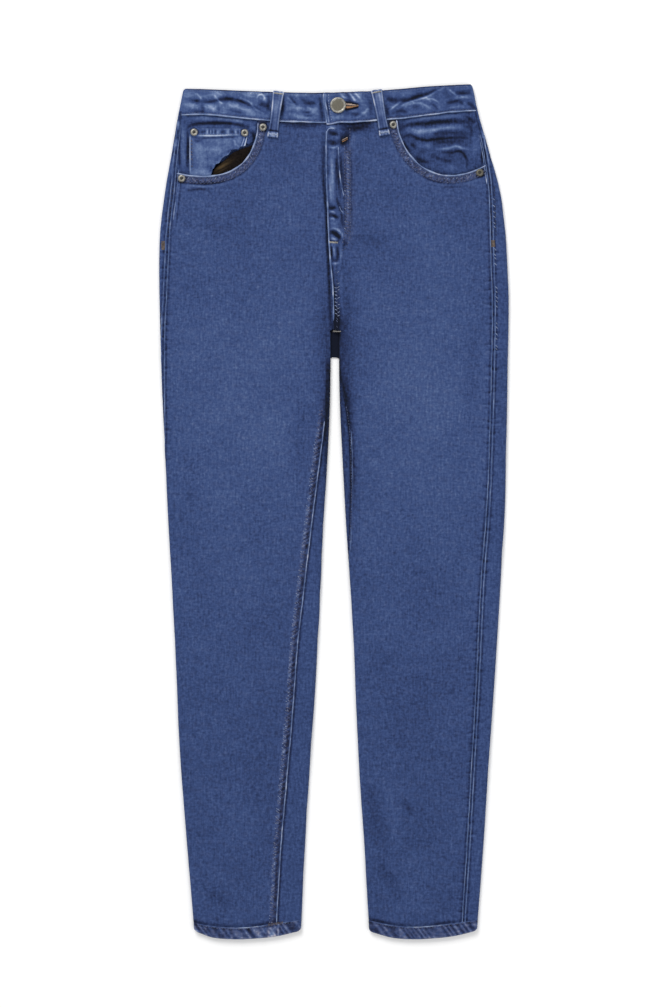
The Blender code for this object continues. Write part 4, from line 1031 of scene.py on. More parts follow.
def thread_mesh(starts, ends, normals, radius, arch):
    """Short arched threads from starts to ends, as points and quads."""
    ahead = ends - starts
    length = np.linalg.norm(ahead, axis=1, keepdims=True)
    ahead = ahead / length
    side = np.cross(normals, ahead)
    side /= np.linalg.norm(side, axis=1, keepdims=True)
    up = np.cross(ahead, side)
    rings = []
    for share, size, rise in THREAD_RINGS:
        middle = starts + ahead * length * share + up * (-THREAD_SINK if rise is None else rise * arch)
        for k in range(THREAD_SIDES):
            turn = 2 * pi * (k + 0.5) / THREAD_SIDES
            rings.append(middle + radius * size * (np.cos(turn) * side + np.sin(turn) * up))
    base = (np.arange(len(starts)) * THREAD_POINTS)[:, None]
    faces = []
    for ring in range(len(THREAD_RINGS) - 1):
        for k in range(THREAD_SIDES):
            a, b = (base + ring * THREAD_SIDES + step % THREAD_SIDES for step in (k, k + 1))
            faces.append(np.concatenate([a, b, b + THREAD_SIDES, a + THREAD_SIDES], 1))
    return np.stack(rings, 1).reshape(-1, 3), np.concatenate(faces)


def sew(name, trails, material=THREAD, pitch=3.3, share=0.7, radius=0.34, seed=1, slant=0.0, uneven=0.0,
        arch=0.18, tone=0.0):
    """One piece with all the stitches along trails. Uneven rows have gaps and stitches of many lengths."""
    draw = np.random.default_rng(seed)
    all_points, all_faces, all_tones, done = [], [], [], 0
    for trail in trails:
        run, side = frames_of(trail)
        count = max(1, int(run[-1] / pitch))
        jitter = 0.06 + 0.24 * uneven
        begin = (np.arange(count) + 0.15 + jitter * draw.uniform(0, 2, count)) * pitch
        end = begin + share * pitch * draw.uniform(0.9 - 0.4 * uneven, 1.08, count)
        keep = (end < run[-1]) & (draw.uniform(0, 1, count) > 0.34 * uneven)
        begin, end = begin[keep], end[keep]
        if not len(begin):
            continue
        middle = (begin + end) / 2
        normals = read_along(run, trail.normals, middle)
        across = read_along(run, side, middle)
        sway = draw.uniform(-0.14, 0.14, (len(begin), 1))
        lean = slant * (end - begin)[:, None]
        starts = read_along(run, trail.points, begin) + across * (sway - lean) + normals * THREAD_LIFT
        ends = read_along(run, trail.points, end) + across * (sway + lean) + normals * THREAD_LIFT
        points, faces = thread_mesh(starts, ends, normals, radius, arch)
        all_points.append(points)
        all_faces.append(faces + done)
        all_tones.append(np.repeat(tone + draw.uniform(-0.25, 0.25, len(begin)), THREAD_POINTS))
        done += len(points)
    points, faces, tones = map(np.concatenate, (all_points, all_faces, all_tones))
    return add_piece(name, points, faces, material, tones)


def satin(name, lines, height, material, pitch=0.62, half=1.3, radius=0.36, seed=1, slant=0.0):
    """Bar tacks: close threads across short lines of (x, up)."""
    draw = np.random.default_rng(seed)
    starts, ends = [], []
    for line in lines:
        line = smooth_line(line, pitch)
        ahead = directions(line)
        across = np.stack([-ahead[:, 1], ahead[:, 0]], 1) + slant * ahead
        reach = half * draw.uniform(0.82, 1.1, (len(line), 1))
        jitter = draw.uniform(-0.12, 0.12, line.shape)
        for held, sign in ((starts, -1), (ends, 1)):
            spots = line + jitter + sign * reach * across
            held.append(np.column_stack([spots, height_at(height, spots)]))
    starts, ends = np.concatenate(starts), np.concatenate(ends)
    points, faces = thread_mesh(starts, ends, upward(len(starts)), radius, SATIN_ARCH)
    tone = np.repeat(draw.uniform(-0.3, 0.3, len(starts)), THREAD_POINTS)
    return add_piece(name, points, faces, material, tone)


def bead(name, trails, width, height, tone, seed, patchy=0.25, grey=0.05):
    """Half-round worn edges: pale where the indigo has rubbed off a fold, with their flanks darkened as
    painted shade.
    """
    all_points, all_faces, all_tones, all_greys, done = [], [], [], [], 0
    for number, trail in enumerate(trails):
        run, side = frames_of(trail)
        size = 1 + 0.22 * wander_along(run, 16, seed + 7 * number)
        size *= np.clip(np.minimum(run, run[-1] - run) / 2.0 + 0.25, 0, 1)
        sway = 0.16 * wander_along(run, 22, seed + 7 * number + 1)
        wear = tone + patchy * wander_along(run, 9, seed + 7 * number + 2) * 0.5
        wear += patchy * 0.8 * wander_along(run, 34, seed + 7 * number + 3)
        ring = []
        for turn in np.linspace(0, pi, BEAD_SIDES):
            out = sway + 0.5 * width * size * np.cos(turn)
            rise = height * size * np.sin(turn) - BEAD_SINK
            ring.append(trail.points + side * out[:, None] + trail.normals * rise[:, None])
        points = np.stack(ring, 1).reshape(-1, 3)
        faces = facing_out(points, grid_faces(len(run), BEAD_SIDES), np.repeat(trail.normals, BEAD_SIDES, 0))
        all_points.append(points)
        all_faces.append(faces + done)
        all_tones.append((wear[:, None] + BEAD_TONES).ravel())
        dust = np.clip(grey + 0.08 * wander_along(run, 13, seed + 7 * number + 4), 0, 1)
        all_greys.append(np.repeat(dust, BEAD_SIDES))
        done += len(points)
    points, faces, tones, greys = map(np.concatenate, (all_points, all_faces, all_tones, all_greys))
    return add_piece(name, points, faces, EDGE, tones, grey=greys)


def within(outline, x, y):
    """True inside a closed outline."""
    inside = np.zeros(np.shape(x), bool)
    for (ax, ay), (bx, by) in zip(outline, np.roll(outline, -1, 0)):
        if ay != by:
            inside ^= ((ay > y) != (by > y)) & (x < ax + (y - ay) * (bx - ax) / (by - ay))
    return inside


def cut_out(outline, x, y, reach, keep_inside=True):
    """Marks the places to drop and moves those of them near the outline onto it."""
    outline = np.asarray(outline, float)
    dropped = within(outline, x, y) ^ keep_inside
    ring = np.concatenate([outline, outline[:1]])
    flat_x, flat_y = x.ravel().copy(), y.ravel().copy()
    near = along_line(ring, flat_x, flat_y, reach)[0]
    moved = near[dropped.ravel()[near]]
    best = np.full(len(moved), FAR)
    new_x, new_y = flat_x[moved].copy(), flat_y[moved].copy()
    for (ax, ay), (bx, by) in zip(ring[:-1], ring[1:]):
        dx, dy = bx - ax, by - ay
        size = dx * dx + dy * dy
        if size == 0:
            continue
        s = np.clip(((flat_x[moved] - ax) * dx + (flat_y[moved] - ay) * dy) / size, 0, 1)
        gap = np.hypot(flat_x[moved] - ax - s * dx, flat_y[moved] - ay - s * dy)
        closer = gap < best
        best = np.where(closer, gap, best)
        new_x = np.where(closer, ax + s * dx, new_x)
        new_y = np.where(closer, ay + s * dy, new_y)
    flat_x[moved], flat_y[moved] = new_x, new_y
    return dropped, flat_x.reshape(x.shape), flat_y.reshape(y.shape)


def kept_faces(dropped):
    gone = dropped[:-1, :-1] & dropped[:-1, 1:] & dropped[1:, :-1] & dropped[1:, 1:]
    return grid_faces(*dropped.shape, ~gone)


def flat_cloth(name, outline, surface, step, material, wall, nodes):
    """A level piece cut to an outline of (x, up). surface gives its height and tone."""
    outline = np.asarray(outline, float)
    low, high = outline.min(0) - step, outline.max(0) + step
    x, up = np.meshgrid(np.arange(low[0], high[0] + step, step), np.arange(low[1], high[1] + step, step))
    dropped, x, up = cut_out(outline, x, up, 1.6 * step)
    z, tone = surface(x.ravel(), up.ravel())
    points = np.stack([x.ravel(), up.ravel(), z], 1)
    points, faces, tone = drop_loose(points, kept_faces(dropped), tone)
    faces = facing_out(points, faces, upward(len(points)))
    return add_piece(name, points, faces, material, tone, wall, nodes)


# Panels

SEAM_GAP = 0.1
BAND_UNDER = 5.0
HEM_UNDER = 3.0


def panel_grid(leg, ups, shares, first, last):
    """(a, up, x) of a grid whose rows run from one seam to the other."""
    a = first[:, None] + shares[None, :] * (last - first)[:, None]
    up = np.repeat(ups[:, None], len(shares), 1)
    return a, up, place(leg, a.ravel(), up.ravel())[0].reshape(a.shape)


def panel_ends(leg, a, up, x, past_top, past_low):
    """Holds the rows between the ends under the waistband and the hem, and marks the ones that lie beyond."""
    top = read(leg.band_low, leg.side * x) + BAND_UNDER
    low = hem_line(leg, a, up) - HEM_UNDER
    return np.clip(up, low, top), (up > top + past_top) | (up < low - past_low)


def build_front(leg):
    ups = np.concatenate([np.arange(9.0, 735.0, 1.75), np.arange(735.0, 1004.0, 1.35)])
    shares = columns_between(200.0, 2.1)
    a, up, x = panel_grid(leg, ups, shares, side_at(leg, ups) + SEAM_GAP, inseam_at(leg, ups) - SEAM_GAP)
    line = pocket_line(leg)
    edge = np.stack([a_of(leg, line[:, 0], line[:, 1]), line[:, 1]], 1)
    opening = np.concatenate([edge, [[-60.0, edge[-1, 1]], [-60.0, 1100.0], [edge[0, 0], 1100.0]]])
    dropped, a, up = cut_out(opening, a, up, 3.2, keep_inside=False)
    up, beyond = panel_ends(leg, a, up, x, 1.4, 2.3)
    dropped |= beyond
    points, normals, tone = front_surface(leg, a, up)
    grey = front_grey(leg, a.ravel(), up.ravel())
    points, normals = points.reshape(-1, 3), normals.reshape(-1, 3)
    points, faces, tone, grey, normals = drop_loose(points, kept_faces(dropped), tone.ravel(), grey, normals)
    faces = facing_out(points, faces, normals)
    points, faces, tone, grey = with_rim(points, faces, normals, WALL, tone, grey)
    name = "front_" + leg.name
    return add_piece("cloth_" + name, points, faces, BODY, tone, 0.0, [name], grey=grey)


def build_back(leg):
    ups = np.concatenate([np.arange(9.0, 700.0, 3.2), np.arange(700.0, 1004.0, 2.6)])
    shares = columns_between(190.0, 4.6, 0.45, 5.4, 1.25)
    a, up, x = panel_grid(leg, ups, shares, side_at(leg, ups) - SEAM_GAP, back_inner(leg, ups))
    up, dropped = panel_ends(leg, a, up, x, 2.7, 3.3)
    points, normals, tone = back_surface(leg, a.ravel(), up.ravel())
    points, faces, tone, normals = drop_loose(points, kept_faces(dropped), tone, normals)
    faces = facing_out(points, faces, normals)
    points, faces, tone = with_rim(points, faces, normals, WALL, tone)
    return add_piece("cloth_back_" + leg.name, points, faces, BODY, tone, 0.0,
                     ["back_" + leg.name, "yoke_" + leg.name])


# Waistband

# Creases of the waistband: pale ridges as worn indigo, troughs darkened as painted shade, and painted shadow
# beside the belt loops and the overlap
BAND_CREASES = [
    # Wearer's right
    (3.2, 0.4, 0.16, (185, 94.5), (190, 95), (197, 94.5)),
    (3.6, 0.4, 0.20, (203, 97), (213, 94), (226, 95)),
    (3.8, 0.4, 0.18, (243, 96), (253, 93), (263, 93)),
    (2.4, -0.6, -0.48, (182, 98.5), (195, 101), (212, 101.5), (225, 99), (240, 101), (250, 105),
     (258, 110), (268, 115)),
    (1.1, 0.5, 0.40, (214, 95), (217, 99), (220, 102), (224, 104.4)),
    (1.0, 0.4, 0.34, (196, 93), (200, 97), (202.6, 100.4)),
    (1.0, 0.4, 0.34, (256.4, 99), (258.4, 95.6), (262, 94.8), (264.6, 98), (262.6, 101)),
    (2.4, -0.4, -0.34, (268.4, 95), (268.6, 104), (268, 113)),
    (1.2, 0.5, 0.40, (238, 97.5), (249, 102), (255, 108.5), (266, 115)),
    (2.0, -0.4, -0.22, (197, 99), (197, 102), (196, 105)),
    (3.4, -0.5, -0.34, (258, 103), (264, 105), (270, 107)),
    (3.4, 0.4, 0.20, (184, 104), (192, 105.5), (200, 107)),
    (2.6, 0.4, 0.26, (205, 104), (212, 108), (214, 113)),
    (3.4, 0.5, 0.26, (224, 105), (236, 106), (248, 111), (258, 115)),
    (1.8, -0.4, -0.26, (201, 105), (203, 109), (202, 113)),
    (1.8, -0.4, -0.22, (218, 105), (219, 109), (218, 113)),
    (2.0, -0.4, -0.24, (228, 109), (234, 111), (243, 114)),
    (1.6, -0.3, -0.20, (222, 95), (228, 98), (234, 98)),
    (2.2, 0.3, 0.16, (262, 97), (266, 100), (268, 103)),
    (1.6, -0.3, -0.22, (188, 110), (198, 111), (208, 112)),
    # Between the loop and the overlap
    (2.2, -0.5, -0.50, (283.5, 94), (283, 105), (281.5, 119)),
    (1.2, 0.4, 0.42, (287, 96), (291, 101), (296, 106)),
    (2.2, -0.4, -0.36, (289, 96), (293, 102), (299, 106)),
    (2.6, -0.5, -0.38, (300, 100), (309, 103), (318, 103)),
    (3.2, 0.4, 0.24, (286, 110), (294, 107.5), (302, 110)),
    (2.8, 0.4, 0.24, (307, 107), (313, 111), (318, 108)),
    (1.3, -0.4, -0.32, (302, 112), (307, 112.5), (312, 112)),
    (1.3, -0.4, -0.26, (303, 116), (308, 116), (313, 115.5)),
    (2.6, 0.3, 0.18, (288, 115), (300, 117.5), (316, 118.5)),
    (2.0, 0.3, 0.18, (287, 94.5), (300, 95.5), (312, 94.5)),
    (2.0, -0.5, -0.42, (319.8, 97), (321, 108), (322.5, 120)),
    # Wearer's left, from the overlap to the loop
    (1.6, -0.4, -0.30, (327, 97), (327.6, 108), (329, 120)),
    (2.6, 0.3, 0.20, (331, 118.5), (338, 118), (344, 116)),
    (1.3, 0.5, 0.36, (340, 93.5), (343, 97), (347, 100)),
    (1.3, 0.5, 0.40, (348, 92), (352, 97), (356, 102)),
    (2.0, -0.4, -0.36, (345, 92), (349, 97), (352, 101)),
    (2.4, -0.4, -0.26, (345, 113), (355, 114.5), (366, 116)),
    (2.2, 0.4, 0.18, (347, 111), (352, 110.5), (358, 112)),
    (3.0, 0.3, 0.12, (358, 97), (364, 104), (366, 111)),
    (2.6, -0.4, -0.22, (370, 96), (370.5, 106), (372, 116)),
    (1.4, -0.4, -0.42, (344, 99), (349, 101), (355, 103.6), (361, 106)),
    (1.2, -0.4, -0.34, (345, 111.4), (352, 110), (360, 107)),
    (2.6, 0.3, 0.20, (346, 96.5), (352, 99.5), (358, 102)),
    (1.3, 0.4, 0.34, (354, 93), (358, 96.5), (361, 100)),
    (2.0, 0.3, 0.26, (356, 119), (364, 113), (370, 108)),
    # Beyond the left loop
    (3.2, -0.5, -0.38, (386, 98), (391, 100), (398, 101)),
    (2.0, -0.4, -0.34, (386, 104), (387, 111), (388, 117)),
    (1.3, 0.5, 0.34, (389, 111), (395, 106), (402, 101)),
    (1.4, 0.6, 0.40, (396, 110), (405, 104), (415, 100.5), (427, 97), (437, 91), (445, 88)),
    (1.3, 0.5, 0.36, (446, 88), (452, 92), (458, 97)),
    (2.4, -0.6, -0.46, (396, 101), (408, 100), (418, 96.5), (430, 93), (440, 89)),
    (1.1, 0.4, 0.36, (424, 99.6), (432, 99), (437, 101.4), (440, 104)),
    (1.4, -0.4, -0.28, (430, 103), (435, 106), (438, 111)),
    (1.5, 0.4, 0.32, (403, 107.6), (409, 104.6), (417, 103), (424, 104.6), (429, 108), (431.4, 111.4)),
    (1.8, 0.4, 0.30, (450, 101), (460, 97.5), (471, 97)),
    (2.6, -0.5, -0.34, (455, 92.5), (463, 93), (471, 91.5)),
    (2.4, -0.5, -0.36, (446, 104), (456, 101), (464, 103)),
    (2.4, -0.4, -0.30, (466, 102), (471, 105), (475, 110)),
    (2.2, 0.4, 0.18, (446, 109), (456, 107), (466, 108)),
    (2.8, 0.3, 0.16, (390, 94), (405, 94), (420, 90)),
    (1.8, -0.4, -0.26, (392, 114), (400, 111), (408, 112)),
]


def band_lap(leg, out):
    return BAND_LAP * soft((44.0 - out) / 14.0) if leg is LEFT else 0.0 * out


def band_end(leg, up):
    """The front ends of the waistband: the right one lies under the left one."""
    if leg is RIGHT:
        return -24.0 + 0 * up
    return -13.6 + 4.0 * soft((1012 - up) / 34)


def band_relief(x, up):
    lift = 0.20 * wander(x, up, 30, 61)
    shade = 0.05 * wander(x, up, 30, 61) + 0.05
    flat_x, flat_up = x.ravel(), up.ravel()
    lift, shade = lift.ravel(), shade.ravel()
    add_creases(BAND_CREASES, flat_x, flat_up, lift, shade, 1.12)
    for size, seed in ((30, 68), (17, 69)):
        ridge = np.clip(1 - 4.0 * np.abs(wander(flat_x, 1.5 * flat_up, size, seed)), -0.4, 1)
        lift += 0.10 * ridge
        shade += 0.075 * ridge
    shade += 0.07 * soft((-60 - flat_x) / 60) - 0.075 * soft((flat_x - 30) / 40)
    low = np.where(flat_x < 0, read(RIGHT.band_low, -flat_x), read(LEFT.band_low, flat_x))
    shade *= 1.0 + 0.22 * soft((flat_up - low - 3) / 4)
    return lift.reshape(x.shape), shade.reshape(x.shape)


def band_height(x, up):
    """The height of the waistband's front."""
    x, up = np.asarray(x, float), np.asarray(up, float)
    on_left = x > band_end(LEFT, up)
    return HIP_TOP + np.where(on_left, band_lap(LEFT, x), 0.0) + band_relief(x, up)[0]


def band_half(leg):
    """Rows of places round one half: from the front end, round the side, to the centre back."""
    span = read(leg.outer, 1000.0) - fold_radius(1000.0)
    front = np.linspace(0, 1, int(span / 1.05))
    turn = np.linspace(pi / 2, -pi / 2, 9)[1:-1]
    back = np.linspace(1, 0, 60)
    share = np.concatenate([[0], np.cumsum(np.full(40, 1 / 40))])
    columns = []
    for kind, values in (("front", front), ("turn", turn), ("back", back)):
        value = np.repeat(values[None, :], len(share), 0)
        near = {"front": value * span, "turn": 0 * value + span + 4, "back": value * span}[kind]
        if kind == "front":
            near = near - 24.0 * (1 - value) * (leg is RIGHT) - 11.0 * (1 - value) * (leg is LEFT)
        low, high = read(leg.band_low, near) + 0.15, read(leg.band_high, near)
        if leg is LEFT:
            low = low - 2.6 * soft((8 - near) / 16) * (kind == "front")
        # Round upper corners
        inset = FRONT_TOP / 2 * (1 - np.cos(value)) if kind == "turn" else span + FRONT_TOP / 2 - near
        high = high - 2.2 * edge_drop(inset, 5.0)
        up = low + share[:, None] * (high - low)
        radius = fold_radius(up)
        middle = floor_at(up) + radius
        edge = read(leg.outer, up) - radius
        if kind == "turn":
            out, z = edge + radius * np.cos(value), middle + radius * np.sin(value)
            nx, nz = np.cos(value), np.sin(value)
            lift, tone = 0.15 * wander(out, up, 20, 63), 0.05 + 0 * up
        else:
            end = band_end(leg, up) if kind == "front" else 0.0
            out = end + value * (edge - end)
            face = 1.0 if kind == "front" else -1.0
            z = middle + face * radius
            nx, nz = 0 * out, face + 0 * out
            if kind == "front":
                lift, tone = band_relief(leg.side * out, up)
                lift = lift * soft((edge - out) / 8) + band_lap(leg, out)
                if leg is LEFT:
                    gap = out - end
                    lift -= 0.9 * edge_drop(gap, 1.3)
                    tone = tone + 0.30 * bell(gap - 1.1, 0.9)
            else:
                lift, tone = 0.16 * wander(out, up, 34, 65), 0.05 + 0.05 * wander(out, up, 34, 65)
        rim = np.minimum(up - low, high - up)
        lift = lift - 0.8 * edge_drop(rim, 1.3)
        # Painted shade: a dark line where the top edge rounds over, and another along the groove of the lower
        # stitch row
        tone = tone - 0.34 * bell(high - up - 0.5, 0.9) + 0.10 * bell(high - up - 2.4, 1.0)
        tone = tone - 0.22 * bell(up - low - 2.6, 1.1)
        columns.append((np.stack([leg.side * (out + nx * lift), up, z + nz * lift], 2),
                        np.stack([leg.side * nx, 0 * nx, nz], 2), tone))
    return [np.concatenate([column[k] for column in columns], 1) for k in range(3)]


def build_band():
    right, left = band_half(RIGHT), band_half(LEFT)
    joined = [np.concatenate([right[k][:, :-1], left[k][:, ::-1]], 1) for k in range(3)]
    points, normals, tone = joined
    faces = grid_faces(*tone.shape)
    faces = facing_out(points.reshape(-1, 3), faces, normals.reshape(-1, 3))
    return add_piece("cloth_waistband", points.reshape(-1, 3), faces, BAND, tone, BAND_WALL, ["waistband"])


# Hems


def build_hem(leg):
    turn = np.linspace(0, pi / 2, 7)
    flat = np.linspace(0, 1, 92)
    share = np.linspace(0, 1, 14)[:, None]
    radius = HEM_TOP / 2
    pieces = []
    stretches = [("outer", turn[::-1], -1), ("outer", turn[1:], 1), ("flat", flat[1:], 1),
                 ("inner", turn[1:], 1),
                 ("inner", turn[::-1][1:], -1), ("flat", flat[::-1][1:-1], -1)]
    for kind, values, face in stretches:
        value = np.repeat(values[None, :], len(share), 0)
        part = {"outer": 0 * value, "flat": value, "inner": 0 * value + 1}[kind]
        low, high = read(leg.hem_low, part), read(leg.hem_high, part)
        # Round lower corners
        inset = {"outer": radius * (1 - np.cos(value)), "flat": radius + 300.0 * np.minimum(value, 1 - value),
                 "inner": radius * (1 - np.sin(value))}[kind]
        low = low + 3.4 * edge_drop(inset, 6.0)
        up = low + share * (high - low)
        start, end = read(leg.outer, up) - radius, read(leg.inner, up) + radius
        if kind == "flat":
            out, nx, nz = start + value * (end - start), 0 * value, face + 0 * value
        elif kind == "outer":
            out, nx, nz = start, np.cos(value), face * np.sin(value)
        else:
            out, nx, nz = end, -np.sin(value), face * np.cos(value)
        pieces.append([out, up, nx, nz, up - low, high - up])
    out, up, nx, nz, above, below = (np.concatenate([piece[k] for piece in pieces], 1) for k in range(6))
    x = leg.side * (out + radius * nx)
    shape = out.shape
    fx, fup = x.ravel(), up.ravel()
    phase = fx + 0.75 * fup
    seed = 71 + leg.side
    beat = phase / 8.6 + 0.6 * wander_along(phase, 34, seed)
    strength = 0.45 + 0.55 * soft(0.5 + 0.7 * wander_along(phase, 44, seed + 4))
    wave = (strength * (np.clip(1.6 * np.sin(2 * pi * beat) - 0.25, -1, 1.2))).reshape(shape)
    lift = 0.30 * wave + 0.12 * wander(x, up, 9, seed + 9)
    lift = np.where(nz < -0.4, -np.abs(lift), lift * soft((nz + 0.2) / 0.8))
    rim = np.minimum(above, below)
    round_off = 0.9 * edge_drop(rim, 1.6)
    streak = np.clip(1 - 4.0 * np.abs(wander(0.7 * x + up, 2.0 * up, 21, seed + 6)), -0.4, 1)
    # The roping is paler on its ridges as worn indigo and darker in its troughs, partly as painted shade
    tone = 0.27 * wave + 0.18 * streak - 0.08 + 0.06 * wander(x, up, 14, seed + 2)
    if leg is RIGHT:
        # The inseam's felled edge goes on over the hem
        band = soft((5.4 - np.abs(x + 74.8)) / 1.2) * soft((13 - above) / 3)
        tone = tone + (nz > 0) * (0.36 * band + 0.46 * bell(x + 67.2, 0.9) - 0.30 * bell(x + 64.9, 1.2)
                                  - 0.22 * bell(x + 69.2, 0.8))
    tone = tone + 0.22 * bell(above - 0.9, 1.0) - 0.22 * bell(below - 1.9, 1.0)
    reach = radius + lift - round_off
    points = np.stack([leg.side * (out + reach * nx), up, radius + reach * nz], 2)
    points[..., 2] = np.maximum(points[..., 2], 0.0)
    normals = np.stack([leg.side * nx, 0 * nx, nz], 2).reshape(-1, 3)
    rows, columns = shape
    i, j = np.meshgrid(np.arange(rows - 1), np.arange(columns), indexing="ij")
    k, after = i * columns + j, i * columns + (j + 1) % columns
    faces = np.stack([k, after, after + columns, k + columns], 2)
    faces = facing_out(points.reshape(-1, 3), faces.reshape(-1, 4), normals)
    grey = np.clip(0.42 + 0.25 * wander(x, up, 7, seed + 5), 0, 1)
    name = "hem_" + leg.name
    return add_piece("cloth_" + name, points.reshape(-1, 3), faces, HEM, tone, BAND_WALL, [name], grey=grey)


def hem_row(leg, above):
    """Points along a hem, a distance above its lower edge's seam."""
    part = np.linspace(0.0, 1.0, 60)
    up = read(leg.hem_high, part) + above
    start, end = read(leg.outer, up) - HEM_TOP / 2, read(leg.inner, up) + HEM_TOP / 2
    return np.stack([leg.side * (start + part * (end - start)), up], 1)


# Pocket pieces

COIN = [(-173.6, 973.5), (-102.4, 972.7), (-106.4, 952.8), (-109.8, 951.2), (-111.6, 952.4),
        (-115.2, 948.0),
        (-118.0, 948.6), (-123.6, 947.2), (-127.0, 941.6), (-131.4, 939.6), (-134.4, 937.8),
         (-138.0, 931.8),
        (-142.4, 930.2), (-144.6, 925.2), (-146.8, 923.6), (-148.0, 914.6), (-173.6, 914.6)]
RIGHT_FACING = [(-79.5, 962.0), (-98.6, 957.6), (-102.0, 954.4), (-106.0, 955.6), (-121.4, 949.4),
                (-144.2, 929.7), (-149.8, 909.0),
                (-158.0, 906.0)]
LEFT_FACING = [(63.0, 968.0), (66.0, 944.0), (78.0, 922.0), (98.0, 904.0), (124.0, 896.0), (150.0, 903.0)]
BAG_OUTLINE = [(-84.0, 952.0), (-97.0, 954.2), (-121.0, 944.8), (-143.6, 925.2), (-148.6, 909.4),
               (-136.0, 899.0),
               (-108.0, 905.0), (-88.0, 928.0)]

# Creases of the pocket facings and the coin pocket, as in the front's table: pale ridges as worn indigo,
# troughs darkened as painted shade, with painted shadow under the fold above the coin pocket and beside its
# edges
LEFT_FACING_CREASES = [
    (2.4, 0.5, 0.24, (402, 122), (420, 118.5), (440, 117), (466, 114.5)),
    (2.4, -0.8, -0.50, (400, 130), (406, 126), (414, 124), (425, 123.5), (440, 121.5), (460, 121),
     (471, 123)),
    (3.0, 0.8, 0.40, (403, 130), (410, 129), (418, 131), (432, 130), (445, 128), (457, 127.5), (468, 130)),
    (3.0, -0.5, -0.26, (432, 133.5), (445, 132.5), (456, 132.5), (468, 135)),
    (1.8, -0.9, -0.52, (402, 138), (406, 135.5), (412, 135.3), (418, 138.5), (427, 140), (440, 138.3),
     (455, 137.6), (469, 138)),
    (2.6, -0.4, -0.28, (430, 142), (445, 141.5), (465, 142)),
    (3.4, 0.5, 0.22, (416, 144), (424, 146), (432, 146)),
    (1.7, 0.7, 0.40, (434, 149), (448, 148.3), (456, 146), (462, 148), (471, 149)),
    (1.5, -0.7, -0.46, (440, 151.5), (451, 152.5), (458, 151), (463, 153), (467, 160), (467.5, 169)),
    (2.2, -0.5, -0.42, (403, 141), (406, 147), (411, 152)),
    (1.8, -0.5, -0.38, (410, 143), (414, 146), (415, 150)),
    (2.6, -0.5, -0.38, (415, 156), (421, 160), (430, 163)),
    (2.6, -0.4, -0.24, (430, 155), (440, 159), (452, 161)),
    (4.6, 0.4, 0.12, (440, 166), (452, 168), (462, 164)),
    (3.6, 0.4, 0.18, (473, 126), (475, 143), (474, 160)),
    (1.3, -0.5, -0.60, (482.2, 140), (482.4, 152), (481.6, 165)),
    (1.7, 0.4, 0.50, (483.6, 129), (484.4, 135), (485, 141)),
    (1.2, 0.4, 0.30, (485.4, 143), (485.8, 152), (486, 162)),
    (2.4, -0.5, -0.30, (468, 124), (472, 130), (471, 138)),
    (2.6, -0.5, -0.36, (466, 116), (470, 119), (476, 123)),
    (2.2, 0.4, 0.16, (405, 131.5), (414, 133), (424, 135)),
]
RIGHT_FACING_CREASES = [
    (2.2, 0.4, 0.18, (186, 119), (210, 118.8), (236, 120.5), (254, 124)),
    (2.0, -0.8, -0.62, (186, 129), (190, 125.5), (196, 123.8), (206, 123), (226, 122.8), (241, 125),
     (250, 128)),
    (1.5, -0.6, -0.55, (187.4, 130), (187.8, 150), (187.2, 172)),
    (2.6, 0.4, 0.16, (183, 122), (183.5, 145), (182.5, 168)),
    (1.4, -0.5, -0.45, (179.6, 120), (179.2, 145), (179.6, 168)),
    (2.0, -0.5, -0.40, (251, 131), (254, 137), (252, 142)),
    (2.2, 0.4, 0.14, (252, 126), (255, 129), (256, 133)),
]
COIN_CREASES = [
    (0.9, 0.4, 0.30, (191, 128.2), (215, 127), (246, 128.6)),
    (1.1, 0.6, 0.44, (190.6, 135.8), (197, 135.6), (215, 135.7), (230, 135), (241, 134.4)),
    (1.3, -0.6, -0.52, (191, 137.8), (205, 137.8), (222, 137.4), (241, 136.6)),
    (1.1, 0.5, 0.44, (189.6, 131), (189.8, 150), (190, 172)),
    (0.9, -0.4, -0.30, (191.4, 138), (191.5, 155), (191.8, 172)),
    (1.2, 0.6, 0.62, (248.9, 129), (246.6, 138), (243.5, 149)),
    (0.9, -0.5, -0.55, (247.2, 132), (245.1, 140), (242.2, 148)),
    (0.8, 0.4, 0.42, (245.2, 132), (243.6, 140), (241, 147)),
    (0.8, -0.3, -0.30, (243.6, 136), (242, 142), (239.6, 147)),
    (2.0, -0.4, -0.30, (193, 139), (197, 141), (203, 139.5)),
    (1.6, -0.3, -0.24, (207, 165), (211, 168), (209, 173)),
    (2.2, -0.3, -0.24, (212, 163), (218, 158), (226, 151)),
    (1.0, 0.3, 0.22, (233, 139), (236, 144), (239, 147)),
    (2.6, 0.3, 0.10, (196, 148), (212, 150), (222, 146)),
    (2.0, -0.3, -0.14, (195, 158), (204, 160), (212, 156)),
    (1.4, -0.3, -0.30, (235, 149), (230, 150.5), (226, 154)),
]


def side_ramp(leg, x, up):
    """How far a pocket piece has sunk below the front, which is nothing at the side seam."""
    seam = read(leg.outer, up) - fold_radius(up) * (1 - pi / 2) - side_at(leg, up)
    return soft((seam - leg.side * x) / 9.0)


def grown_opening(leg, margin):
    """The pocket opening with a margin that goes under the front, up to the side seam and the waistband."""
    line = pocket_line(leg)
    below = shifted(line, -leg.side * margin)
    seam_up = np.linspace(line[-1, 1] - 1.0, 990, 30)
    seam = read(leg.outer, seam_up) - fold_radius(seam_up) * (1 - pi / 2) - side_at(leg, seam_up) - 0.3
    side = np.stack([leg.side * seam, seam_up], 1)
    outs = np.linspace(seam[-1], leg.side * line[0, 0] - margin, 12)
    top = np.stack([leg.side * outs, read(leg.band_low, outs) + 4.0], 1)
    return below, side, top


